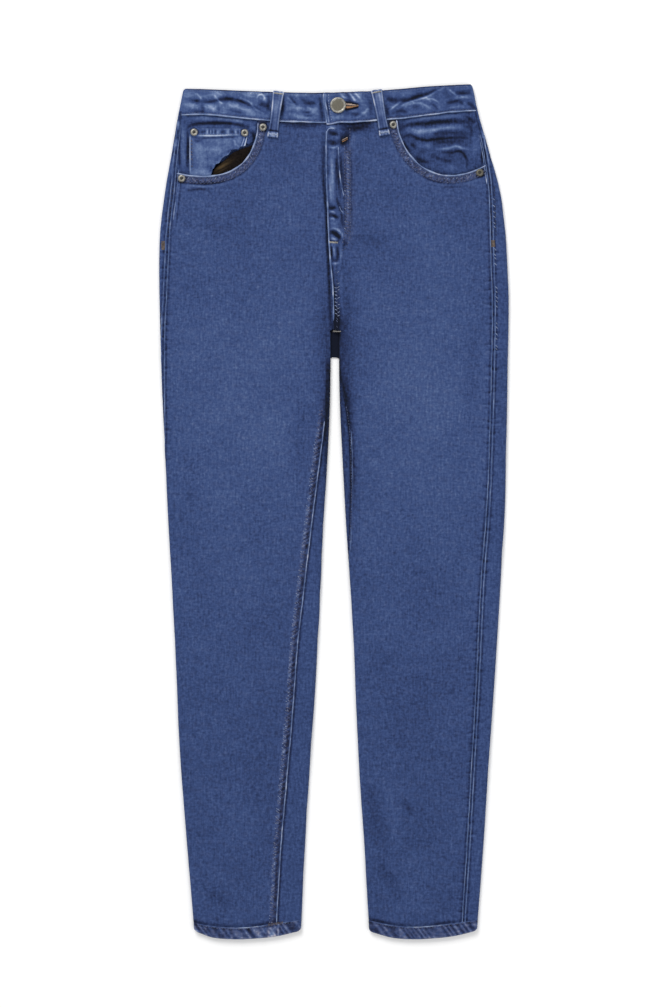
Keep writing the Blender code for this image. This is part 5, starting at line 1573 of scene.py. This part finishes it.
def build_facing(leg, low_line, rows, dark):
    below, side, top = grown_opening(leg, 7.0)
    corner = below[leg.side * below[:, 0] > leg.side * low_line[-1][0] + 1]
    outline = np.concatenate([top, low_line, corner, side])

    def surface(x, up):
        lift, shade = 0.12 * wander(x, up, 22, 81), 0.04 * wander(x, up, 22, 81) - dark
        add_creases(rows, x, up, lift, shade)
        shade *= 1.22
        near, _, away, _ = along_line(pocket_line(leg), x, up, 9.0)
        under = soft((3.5 - leg.side * away) / 5.0)
        lift[near] = np.minimum(lift[near], 0.7) * (1 - under) - 0.2 * under
        # Painted shadow just under the pocket opening's edge
        shade[near] -= 0.16 * bell(away, 3.0)
        lift *= soft((read(leg.band_low, leg.side * x) - up) / 5.0)
        return top_at(up) - 0.15 - 2.05 * side_ramp(leg, x, up) + lift, shade

    name = "facing_" + leg.name
    return flat_cloth("cloth_" + name, outline, surface, 1.25, FACING, 0.8, ["pocket_" + name])


def build_coin():
    def surface(x, up):
        lift, shade = 0.10 * wander(x, up, 16, 85), 0.06 * wander(x, up, 16, 85) + 0.24
        add_creases(COIN_CREASES, x, up, lift, shade)
        hem = soft((up - 964.6) / 1.2)
        lift += 0.25 * hem
        beat = x / 7.6 + 0.5 * wander_along(x, 26, 87)
        strip = bell(up - 969.2, 2.6) * hem
        shade += strip * (0.36 * np.sin(2 * pi * beat) - 0.12)
        lift += 0.18 * strip * np.sin(2 * pi * beat)
        return FRONT_TOP - 0.85 + lift, shade + painted_rivet_shadow(x, up)

    return flat_cloth("cloth_coin_pocket", COIN, surface, 0.85, FACING, 0.8, ["coin_pocket"])


def build_bag():
    def surface(x, up):
        lift = 0.35 * wander(x, up, 14, 91) + 0.25 * wander_along(x + 0.7 * up, 7, 92)
        # Golden painted sheen in a streaky patch
        gold = np.exp(-(((x + 134) / 9) ** 2 + ((up - 929 - 0.6 * (x + 134)) / 5) ** 2))
        gold *= 0.55 + 0.6 * wander_along(x - 1.9 * up, 8, 93)
        return 3.9 - 1.2 * soft((954 - up) / 22) + lift * 0.7, 1.1 * np.clip(gold, 0, 1) + 0.02

    nodes = ["pocket_bag_right"]
    return flat_cloth("cloth_pocket_bag", BAG_OUTLINE, surface, 1.5, BAG, 0.7, nodes)


def build_crotch_shading():
    """A sheet painted nearly black for the deep shade between the legs, where the felled ends of the rise
    seam lie.
    """
    outline = [(-4.7, 698.6), (6.4, 698.6), (6.4, 733.0), (-4.7, 733.0)]

    def surface(x, up):
        tone = -0.95 + 0.25 * bell(x + 0.6, 0.8) + 0.2 * soft((up - 715) / 18)
        return 1.95 + 0.08 * wander(x, up, 5, 95), tone

    return flat_cloth("cloth_crotch_painted_shade", outline, surface, 0.8, BODY, 0.6, ())


# Belt loops

BELT_LOOPS = {
    "right": ((-66.8, 1016.6), (-74.0, 962.2)),
    "left": ((50.8, 1018.2), (60.6, 964.6)),
}
LOOP_BOW = [(0.3, -2.8), (0.4, -1.2), (1.4, 0.1), (4.0, 0.5), (12.0, 1.3), (24.0, 1.8), (36.0, 1.4)]
LOOP_WIDTHS = [(0, 13.8), (12, 12.4), (28, 11.2), (40, 11.4), (54, 13.2)]
BACK_LOOP_HALF = 6.5
# The height of the upper face of what lies on the floor under the backs
BACK_TOP = 1.25
# A patch pocket's corners, as (distance from the centre line, up)
PATCH = [(38, 884), (46, 760), (104, 732), (162, 756), (174, 878)]
PATCH_THREADS = 0.41


def build_loop(which):
    (top_x, top_up), (foot_x, foot_up) = BELT_LOOPS[which]
    length = np.hypot(foot_x - top_x, foot_up - top_up)
    ax, ay = (foot_x - top_x) / length, (foot_up - top_up) / length
    rows = LOOP_BOW + [(length - 8.5, 0.35), (length - 6.5, 0.15), (length, 0.2)]
    path = curve(rows, 5)
    run = run_along(path)
    at = np.linspace(0, run[-1], 64)
    path = np.stack([np.interp(at, run, path[:, k]) for k in (0, 1)], 1)
    step = directions(path)
    across = np.linspace(-1, 1, 25)
    half = read(LOOP_WIDTHS, np.clip(path[:, 0], 0, length)) / 2
    w = across[None, :] * half[:, None]
    edge = half[:, None] - np.abs(w)
    along = np.repeat(path[:, :1], len(across), 1)
    seed = 101 if which == "right" else 111
    lift = 0.14 * wander(w, along, 12, seed) + 0.25 * bell(w + 1.5, 1.6) - 0.2 * bell(w - 1.0, 1.1)
    tone = 0.05 + 0.13 * wander(4 * w, along, 26, seed + 1)
    tone += 0.32 * bell(edge - 0.9, 0.9) - 0.22 * bell(edge - 2.8, 0.9)
    tone += 0.20 * bell(along - 12, 12)
    foot = soft((along - (length - 8.2)) / 1.2)
    lift = lift + 0.7 * foot
    tone = tone + 0.42 * foot * bell(along - (length - 3.6), 2.6)
    # Painted shade: a dark line where the foot's turned end steps up
    tone -= 0.75 * bell(along - (length - 8.0), 1.1)
    tone += 0.15 * bell(along - 1.5, 2.2)
    drop = 1.3 * edge_drop(edge, 1.3)
    thick = 1.8 + lift - drop
    s = path[:, :1] - thick * step[:, 1:]
    z = HIP_TOP + 0.3 + path[:, 1:] + thick * step[:, :1]
    points = np.stack([top_x + ax * s - ay * w, top_up + ay * s + ax * w, z], 2).reshape(-1, 3)
    normals = np.repeat(np.stack([-ax * step[:, 1], -ay * step[:, 1], step[:, 0]], 1), len(across), 0)
    faces = facing_out(points, grid_faces(len(at), len(across)), normals)
    node = "belt_loop_front_" + which
    return add_piece("cloth_loop_" + which, points, faces, BAND, tone, 1.5, [node], grey=0.12)


def build_back_loop(which, x, foot, head):
    def surface(px, up):
        rim = np.minimum(BACK_LOOP_HALF - np.abs(px - x), np.minimum(up - foot, head - up))
        return BACK_TOP + 0 * px, 0.3 * bell(rim - 0.6, 0.7)

    left, right = x - BACK_LOOP_HALF, x + BACK_LOOP_HALF
    outline = [(left, foot), (right, foot), (right, head), (left, head)]
    name = "loop_back_" + which
    return flat_cloth("cloth_" + name, outline, surface, 1.3, BAND, 1.15, ["belt_" + name])


def build_patch(leg):
    outline = [(leg.side * out, up) for out, up in [PATCH[0], *PATCH[:0:-1]]]

    def surface(x, up):
        return BACK_TOP + 0 * x, 0.05 * wander(x, up, 40, 121)

    name = "back_pocket_" + leg.name
    return flat_cloth("cloth_" + name, outline, surface, 2.4, BODY, 1.1, [name])


# Metal

RIVET_PROFILE = [(0.0, 0.50), (0.9, 0.55), (1.4, 0.30), (1.75, 0.30), (1.95, 1.15), (2.3, 1.42),
                 (2.8, 1.5), (3.3, 1.38),
                 (3.8, 1.1), (4.2, 0.75), (4.45, 0.4), (4.5, 0.1), (4.4, 0.0)]
BUTTON_PROFILE = [(0.0, 2.22), (2.4, 2.26), (4.6, 2.2), (6.2, 2.12), (6.9, 2.06), (7.3, 2.3), (7.8, 2.58),
                  (8.4, 2.68),
                  (8.9, 2.5), (9.3, 2.1), (9.55, 1.5), (9.6, 1.0), (9.2, 0.4), (7.5, 0.0)]


def turned(name, profile, x, up, base, sides, materials, switch, node, dents=0.0, seed=1):
    """A round piece. Rings inside the switch radius have the first material, the others the second one."""
    draw = np.random.default_rng(seed)
    rings = np.array(profile[1:], float)
    turn = 2 * pi * np.arange(sides) / sides
    wobble = 1 + dents * draw.uniform(-1, 1, (len(rings), sides))
    radius = rings[:, :1] * wobble
    height = base + rings[:, 1:] + 0 * turn
    points = np.stack([x + radius * np.cos(turn), up + radius * np.sin(turn), height], 2).reshape(-1, 3)
    points = np.concatenate([[[x, up, base + profile[0][1]]], points])
    faces = [(0, 1 + k, 1 + (k + 1) % sides) for k in range(sides)]
    inner = [rings[0, 0] <= switch] * sides
    for ring in range(len(rings) - 1):
        for k in range(sides):
            a, b = 1 + ring * sides + k, 1 + ring * sides + (k + 1) % sides
            faces.append((a, a + sides, b + sides, b))
            inner.append(rings[ring + 1, 0] <= switch)
    made = add_piece(name, points, faces, materials[0], 0.0, 0.0, [node])
    made.data.materials.append(materials[1])
    made.data.polygons.foreach_set("material_index", [0 if within_switch else 1 for within_switch in inner])
    return made


RIVETS = {
    "coin_outer": (-168.2, 968.6, FRONT_TOP - 0.55),
    "coin_inner": (-107.4, 967.9, FRONT_TOP - 0.55),
    "right_inner": (-85.4, 974.4, HIP_TOP + 1.0),
    "right_outer": (-183.0, 913.0, FRONT_TOP + 1.0),
    "left_inner": (70.8, 977.4, HIP_TOP + 1.0),
    "left_outer": (174.6, 920.0, FRONT_TOP + 1.0),
}
BUTTON = (4.6, 1000.4, HIP_TOP + 2.6)

# The dressed pieces

fronts = {leg.name: build_front(leg) for leg in LEGS}
backs = {leg.name: build_back(leg) for leg in LEGS}
hems = {leg.name: build_hem(leg) for leg in LEGS}
waistband = build_band()
facings = {
    "right": build_facing(RIGHT, RIGHT_FACING, RIGHT_FACING_CREASES, -0.02),
    "left": build_facing(LEFT, LEFT_FACING, LEFT_FACING_CREASES, 0.05),
}
coin_pocket = build_coin()
pocket_bag = build_bag()
crotch_shading_sheet = build_crotch_shading()
loops = {which: build_loop(which) for which in BELT_LOOPS}
back_loops = [build_back_loop("right", -112.0, 967.0, 1015.0), build_back_loop("centre", 0.0, 967.0, 1013.0),
              build_back_loop("left", 112.0, 967.0, 1015.0)]
patches = {leg.name: build_patch(leg) for leg in LEGS}
for which, (x, up, base) in RIVETS.items():
    turned("metal_rivet_" + which, RIVET_PROFILE, x, up, base, 32,
           (DARK, BRASS if which == "left_outer" else RIM), 1.8, "rivet_" + which, 0.02, 5)
turned("metal_button", BUTTON_PROFILE, *BUTTON, 64, (BRASS, RIM), 7.0, "button")

# Worn edges and stitches of the front


def at_band(line):
    """A trail along the waistband's front."""
    return level_trail(line, lambda x, up: band_height(x, up) - 0.12)


def band_line(leg, first, last, from_low=None, from_high=None, count=40):
    out = np.linspace(first, last, count)
    up = read(leg.band_low, out) + from_low if from_high is None else read(leg.band_high, out) - from_high
    if leg is LEFT and from_high is None:
        up = up - 2.6 * soft((8 - out) / 16)
    return np.stack([leg.side * out, up], 1)


def band_rows(right, left, **where):
    """Trails over both halves of the waistband, each from its first distance to its last one."""
    return [at_band(band_line(leg, *span, **where)) for leg, span in ((RIGHT, right), (LEFT, left))]


def seam_trail(leg, first, last, away, step=0.9):
    """A trail down a side seam, a distance from it towards the back."""
    up = np.arange(first, last, -step)
    a = side_at(leg, up) - away
    points, normals, _ = front_surface(leg, a, up) if away < 0 else back_surface(leg, a, up)
    return Trail(points, normals)


def inseam_trail(leg, first, last, away, step=0.9):
    up = np.arange(first, last, -step)
    points, normals, _ = front_surface(leg, inseam_at(leg, up) - away, up)
    return Trail(points, normals)


def fly_line(points):
    return front_trail(LEFT, spot(points))


def front_height(x, up):
    x, up = np.asarray(x, float), np.asarray(up, float)
    height = np.empty(len(x))
    for leg in LEGS:
        own = x > read(LEFT.front_edge, up)
        own = own if leg is LEFT else ~own
        if own.any():
            height[own] = front_surface(leg, a_of(leg, x[own], up[own]), up[own])[0][:, 2]
    return height


def pocket_trail(leg, gap):
    """A trail beside a pocket opening, a gap away from its edge."""
    return front_trail(leg, shifted(pocket_line(leg), -leg.side * gap))


# The rows beside the pocket openings: name, gap from the edge, and thread, pitch, share, radius, seed, slant
# and unevenness of the stitches
POCKET_ROWS = [
    ("edge", 2.3, THREAD, 3.3, 0.7, 0.26, 205, 0.0, 0.0),
    ("row", 8.6, THREAD, 4.2, 0.5, 0.42, 206, 0.0, 0.0),
    ("cross", 5.2, PLUM, 3.6, 0.42, 0.40, 207, 0.8, 0.8),
    ("dark", 6.8, NAVY, 4.4, 0.36, 0.36, 208, 0.7, 1.0),
    ("pale", 3.8, PALE, 5.2, 0.26, 0.28, 209, 0.9, 1.0),
]
on_front = {}
for leg in LEGS:
    name = leg.name
    seed = 201 + leg.side
    on_front[name] = [bead("worn_pocket_edge_" + name, [pocket_trail(leg, 0.5)], 1.9, 0.75, 0.40, seed, 0.08)]
    for kind, gap, *looks in POCKET_ROWS:
        on_front[name].append(sew(f"stitch_pocket_{kind}_{name}", [pocket_trail(leg, gap)], *looks))


def rows_on(trail, leg, *rows):
    """Trails on a leg, one for each row of what the trail function is given."""
    return [trail(leg, *row) for row in rows]


def fly_rows(*lines):
    return [fly_line(points) for points in lines]


def short_tack(name, line, height, material, half, seed):
    """A bar tack over one line of the photo's pixels."""
    return satin(name, [spot(line)], height, material, half=half, seed=seed)


# Worn edges have a name, trails, width, height, tone, seed, unevenness and grey. Stitches have a name,
# trails, thread, pitch, share, radius, seed, slant and unevenness. Trails down a seam run from a first height
# to a last one, a distance from the seam.
on_front["left"] += [
    bead("worn_fly_edge", rows_on(inseam_trail, LEFT, (970, 742, 0.7)), 1.7, 0.6, 0.32, 211, 0.14, 0.0),
    bead("worn_fly_corner", fly_rows([(335.0, 129.2), (331.4, 128.4), (328.4, 129.4), (326.6, 133.0)]),
         1.5, 0.6, 0.42, 212, 0.1, 0.0),
    bead("worn_fly_line", fly_rows([(338.3, 147), (338.8, 160), (340, 175), (341.8, 187), (343.8, 196)],
                                   [(339.5, 206), (341, 210), (343.4, 213)]), 1.2, 0.45, 0.30, 213),
    sew("stitch_fly", fly_rows(
        [(344.6, 145), (344.8, 175), (345.2, 200), (345.2, 228), (344.2, 238), (341.5, 245)],
        [(349.8, 128), (350.2, 160), (350.6, 200), (350.4, 229), (349.2, 239), (345.8, 248), (341, 251)]),
        THREAD, 3.6, 0.6, 0.42, 215),
    sew("stitch_fly_cross", fly_rows([(347.4, 150), (347.7, 180), (348.0, 205), (347.6, 236)]),
        PLUM, 3.4, 0.4, 0.38, 216, 1.6, 0.8),
    sew("stitch_fly_dark", fly_rows([(346.0, 146), (346.2, 180), (346.4, 205), (346.0, 238)],
                                    [(349.0, 148), (349.2, 180), (349.4, 205), (348.8, 234)]),
        NAVY, 4.4, 0.5, 0.38, 226, 0.5, 0.9),
    sew("stitch_fly_pale", fly_rows([(345.2, 188), (345.4, 212), (345.0, 236)],
                                    [(348.2, 150), (348.4, 180), (348.6, 212)]),
        PALE, 5.2, 0.36, 0.28, 227, 0.8, 1.0),
    sew("stitch_rise", fly_rows([(335.6, 266), (336.8, 285), (337.2, 310), (337.0, 329)]),
        THREAD, 4.6, 0.6, 0.32, 217, 0.35, 0.8),
    sew("stitch_rise_low", fly_rows([(335.4, 286), (335.9, 300), (336.0, 318)]),
        PALE, 4.4, 0.4, 0.34, 247, 0.9, 0.5),
    sew("stitch_rise_high", fly_rows([(338.2, 270), (338.7, 296), (338.6, 320)]),
        PALE, 4.4, 0.4, 0.30, 248, -0.9, 0.6),
    short_tack("tack_fly_end", [(328.6, 242.3), (337.4, 242.8)], front_height, TAN, 1.3, 218),
    short_tack("tack_fly_copper", [(342.6, 141.8), (347.6, 139.0)], front_height, COPPER, 0.6, 219),
    short_tack("tack_fly_rose", [(342.2, 140.4), (347.4, 137.4)], front_height, ROSE, 0.5, 225),
    short_tack("tack_rise_end", [(333.0, 331.2), (340.6, 331.6)], front_height, TAN, 0.55, 220),
    sew("stitch_side_left", rows_on(seam_trail, LEFT, (925, 838, 1.6), (905, 842, 6.2)),
        NAVY, 4.4, 0.7, 0.46, 221, 0.0, 0.3),
    bead("worn_side_left", rows_on(seam_trail, LEFT, (966, 16, -0.55), (966, 16, 2.9)),
         1.0, 0.34, 0.25, 222, 0.10, 0.0),
    bead("worn_side_top_left", rows_on(seam_trail, LEFT, (966, 905, -2.4)), 1.1, 0.36, 0.22, 228, 0.2),
    sew("stitch_side_pale_left", rows_on(seam_trail, LEFT, (890, 700, 4.6)),
        PALE, 6.4, 0.5, 0.36, 239, 0.5, 0.8),
    short_tack("tack_side_left", [(493.0, 240.6), (493.2, 246.8)], 6.7, BROWN, 2.6, 223),
    sew("stitch_inseam_left", rows_on(inseam_trail, LEFT, (640, 470, 1.4)), radius=0.3, seed=224),
    bead("worn_inseam_left", rows_on(inseam_trail, LEFT, (612, 436, 3.0)), 0.9, 0.3, 0.12, 229, 0.12),
]
on_front["right"] += [
    bead("worn_side_right", rows_on(seam_trail, RIGHT, (978, 575, -0.55), (978, 690, 3.4)),
         1.1, 0.34, 0.21, 231, 0.10),
    bead("worn_side_top_right", rows_on(seam_trail, RIGHT, (924, 862, -3.6)), 1.1, 0.34, 0.22, 236, 0.14),
    sew("stitch_side_right", rows_on(seam_trail, RIGHT, (905, 838, 1.3)), NAVY, 4.2, 0.55, 0.6, 232),
    bead("worn_inseam_right", rows_on(inseam_trail, RIGHT, (622, 16, 0.65)),
         1.2, 0.42, 0.35, 233, 0.10, 0.05),
    sew("stitch_inseam_right", rows_on(inseam_trail, RIGHT, (640, 16, 3.6)),
        NAVY, 4.6, 0.42, 0.46, 234, 0.8, 1.0),
    sew("stitch_inseam_rope", rows_on(inseam_trail, RIGHT, (640, 16, 5.6), (640, 16, 8.0)),
        PLUM, 3.9, 0.4, 0.36, 237, 0.9, 0.9),
    sew("stitch_inseam_pale", rows_on(inseam_trail, RIGHT, (620, 16, 6.8), (600, 16, 9.0)),
        PALE, 4.6, 0.26, 0.28, 238, 0.9, 1.0),
    short_tack("tack_side_right", [(163.4, 241.4), (163.6, 249.6)], 6.25, BROWN, 3.2, 235),
]

# Waistband edges, rows, tacks and the buttonhole
END_EDGE = np.array([(-12.8, 1014.5), (-12.9, 1004.0), (-11.4, 994.0), (-9.6, 984.0), (-8.9, 979.2)])
on_band = [
    bead("worn_band_low", band_rows((185.5, 9.4), (170.5, -9.4), from_low=0.45), 1.9, 0.6, 0.42, 241, 0.10),
    bead("worn_band_end", [at_band(END_EDGE), at_band(END_EDGE + (2.6, 0))], 1.5, 0.5, 0.36, 242, 0.12),
    # The top edge's bead is darkened as painted shade where the band rounds over
    bead("band_top_painted_shade", band_rows((177, 12), (162, -12), from_high=0.6), 1.1, 0.30, -0.30, 243, 0.14, 0.3),
    sew("stitch_band", band_rows((185, 12), (170, -7), from_low=2.1), radius=0.30, seed=244),
    sew("stitch_band_top", band_rows((176, 14), (161, -10), from_high=2.4), radius=0.26, seed=245),
]

HOLE = spot([(345.2, 106.2), (349.5, 106.2), (353.5, 106.2), (358.4, 106.0)])


def build_buttonhole():
    """A slot painted dark for the shade inside the buttonhole, with copper threads across it, which narrows
    away from the button.
    """
    width = [(HOLE[0, 0], 3.8), (HOLE[1, 0], 3.3), (HOLE[2, 0], 2.2), (HOLE[3, 0], 0.7)]
    middle = smooth_line(HOLE, 0.6)
    half = read(width, middle[:, 0])
    rows = []
    for share in np.linspace(-1, 1, 9):
        up = middle[:, 1] + share * (half + 1.9)
        z = band_height(middle[:, 0], up) + 0.25 * (1 - share ** 2) + 0.05
        rows.append(np.stack([middle[:, 0], up, z], 1))
    points = np.stack(rows, 1).reshape(-1, 3)
    faces = facing_out(points, grid_faces(len(middle), len(rows)), upward(len(points)))
    slot = add_piece("buttonhole_painted_shade", points, faces, EDGE, -0.9, 0.4)
    draw = np.random.default_rng(251)
    starts, ends = [], []
    for x, up in smooth_line(HOLE, 0.55):
        reach = float(read(width, x))
        for sign in (-1, 1):
            lean = draw.uniform(-0.5, 0.2)
            starts.append((x + lean, up + sign * reach * 0.12, 0))
            ends.append((x - lean * 0.5 - 0.4, up + sign * reach * draw.uniform(0.75, 0.95), 0))
    starts, ends = np.array(starts), np.array(ends)
    for held in (starts, ends):
        held[:, 2] = band_height(held[:, 0], held[:, 1]) + 0.35
    made = [slot]
    for name, material, first in (("buttonhole_thread_low", COPPER, 0), ("buttonhole_thread_high", ROSE, 1)):
        feet, heads = starts[first::2], ends[first::2]
        points, faces = thread_mesh(feet, heads, upward(len(feet)), 0.40, SATIN_ARCH)
        made.append(add_piece(name, points, faces, material))
    return made


on_band += build_buttonhole()
on_band.append(sew("stitch_band_end", [at_band(END_EDGE + (6.4, 0))], PALE, seed=246, radius=0.34))


def loop_tack(name, which, share, height, material, seed, half=0.9):
    (top_x, top_up), (foot_x, foot_up) = BELT_LOOPS[which]
    axis = np.array([foot_x - top_x, foot_up - top_up])
    middle = np.array([top_x, top_up]) + share * axis
    across = np.array([-axis[1], axis[0]]) / np.linalg.norm(axis)
    line = np.array([middle - 5.0 * across, middle + 5.0 * across])
    return satin(name, [line], height, material, half=half, seed=seed)


for which in BELT_LOOPS:
    loop_tack("tack_loop_head_" + which, which, 0.035, HIP_TOP + 2.75, TAN, 261)
    loop_tack("tack_loop_foot_" + which, which, 0.935, HIP_TOP + 3.0, PALE, 262, 1.2)

# Coin pocket rows and its side stitches
coin_height = FRONT_TOP - 0.62
on_coin = [
    sew("stitch_coin", [level_trail(spot([(198, 134.2), (215, 134.5), (240, 133.7)]), coin_height + 0.2),
                        level_trail(spot([(192.6, 140), (192.8, 155), (193, 171)]), coin_height)],
        radius=0.26, seed=271),
    sew("stitch_coin_side", [level_trail(spot([(191.4, 139), (191.6, 155), (191.9, 171)]), coin_height)],
        BROWN, 4.2, 0.45, 0.42, 272, 0.0, 0.6),
]

# Hems
on_hem = {}
hem_marks = satin("tack_hem_inseam", [spot([(268.2, 924.8), (275, 923.8), (282.4, 922.8)])], HEM_TOP - 0.3,
                  BROWN, 1.7, 1.7, 0.42, 283, 0.6)
for leg in LEGS:
    name = leg.name
    on_hem[name] = [
        bead("worn_hem_" + name, [level_trail(hem_row(leg, -0.5), HEM_TOP - 0.55)], 1.1, 0.5, 0.20, 281, 0.2),
        sew("stitch_hem_" + name, [level_trail(hem_row(leg, -1.7), HEM_TOP - 0.1)], radius=0.32, seed=282,
            tone=0.2),
    ]
on_hem["right"].append(hem_marks)

# The back, which lies on the floor: rows along the yoke, the centre seam and the patch pockets


def back_line(leg, line):
    line = smooth_line(np.asarray(line, float), 1.2)
    radius = fold_radius(line[:, 1])
    a = -(pi * radius / 2 + read(leg.outer, line[:, 1]) - radius - leg.side * line[:, 0])
    points, normals, _ = back_surface(leg, a, line[:, 1])
    return Trail(points, normals)


for leg in LEGS:
    name, side = leg.name, leg.side
    yoke = [(side * out, yoke_line(out)) for out in (4, 60, 120, 180)]
    rows = [back_line(leg, np.array(yoke) + (0, above)) for above in (1.6, 5.4)]
    rows += [back_line(leg, [(side * 2.6, 975), (side * 2.6, 860), (side * 2.6, 745)])]
    patch = np.array([(side * out, up) for out, up in PATCH])
    middle = np.array([side * 105.0, 815.0])
    turned_rows = []
    for inset in (0.965, 0.90):
        ring = middle + inset * (patch - middle)
        line = np.concatenate([np.linspace(ring[k], ring[k + 1], 24)[:-1] for k in range(4)] + [ring[-1:]])
        turned_rows.append(turned_down(level_trail(line, PATCH_THREADS)))
    mouth = middle + 0.90 * (patch - middle)
    turned_rows.append(turned_down(level_trail(np.linspace(mouth[0], mouth[-1], 20), PATCH_THREADS)))
    sew("stitch_yoke_" + name, rows, radius=0.3, arch=0.05, seed=291)
    on_patch = sew("stitch_patch_" + name, turned_rows, radius=0.26, arch=0.03, seed=292)

# The flat sizes that the cloth was cut to


def cut_of(a_left, a_right, up):
    width = np.abs(a_right - a_left)
    area = np.sum((width[1:] + width[:-1]) / 2 * np.diff(up))
    return width.max() * MM, (up.max() - up.min()) * MM, area * MM * MM


def outline_cut(outline):
    x, y = np.asarray(outline, float).T
    area = 0.5 * abs(np.dot(x, np.roll(y, -1)) - np.dot(y, np.roll(x, -1)))
    return (x.max() - x.min()) * MM, (y.max() - y.min()) * MM, area * MM * MM


for leg in LEGS:
    name = leg.name
    ups = np.linspace(12, 985, 300)
    width, length, area = cut_of(side_at(leg, ups), inseam_at(leg, ups), ups)
    width, length, area = cut_of(side_at(leg, ups), back_inner(leg, ups), ups)
    around = 2 * (read(leg.outer, 10.0) - read(leg.inner, 10.0)) - 4 * HEM_TOP + pi * HEM_TOP
width, length, area = outline_cut(COIN)
width, length, area = outline_cut(BAG_OUTLINE)
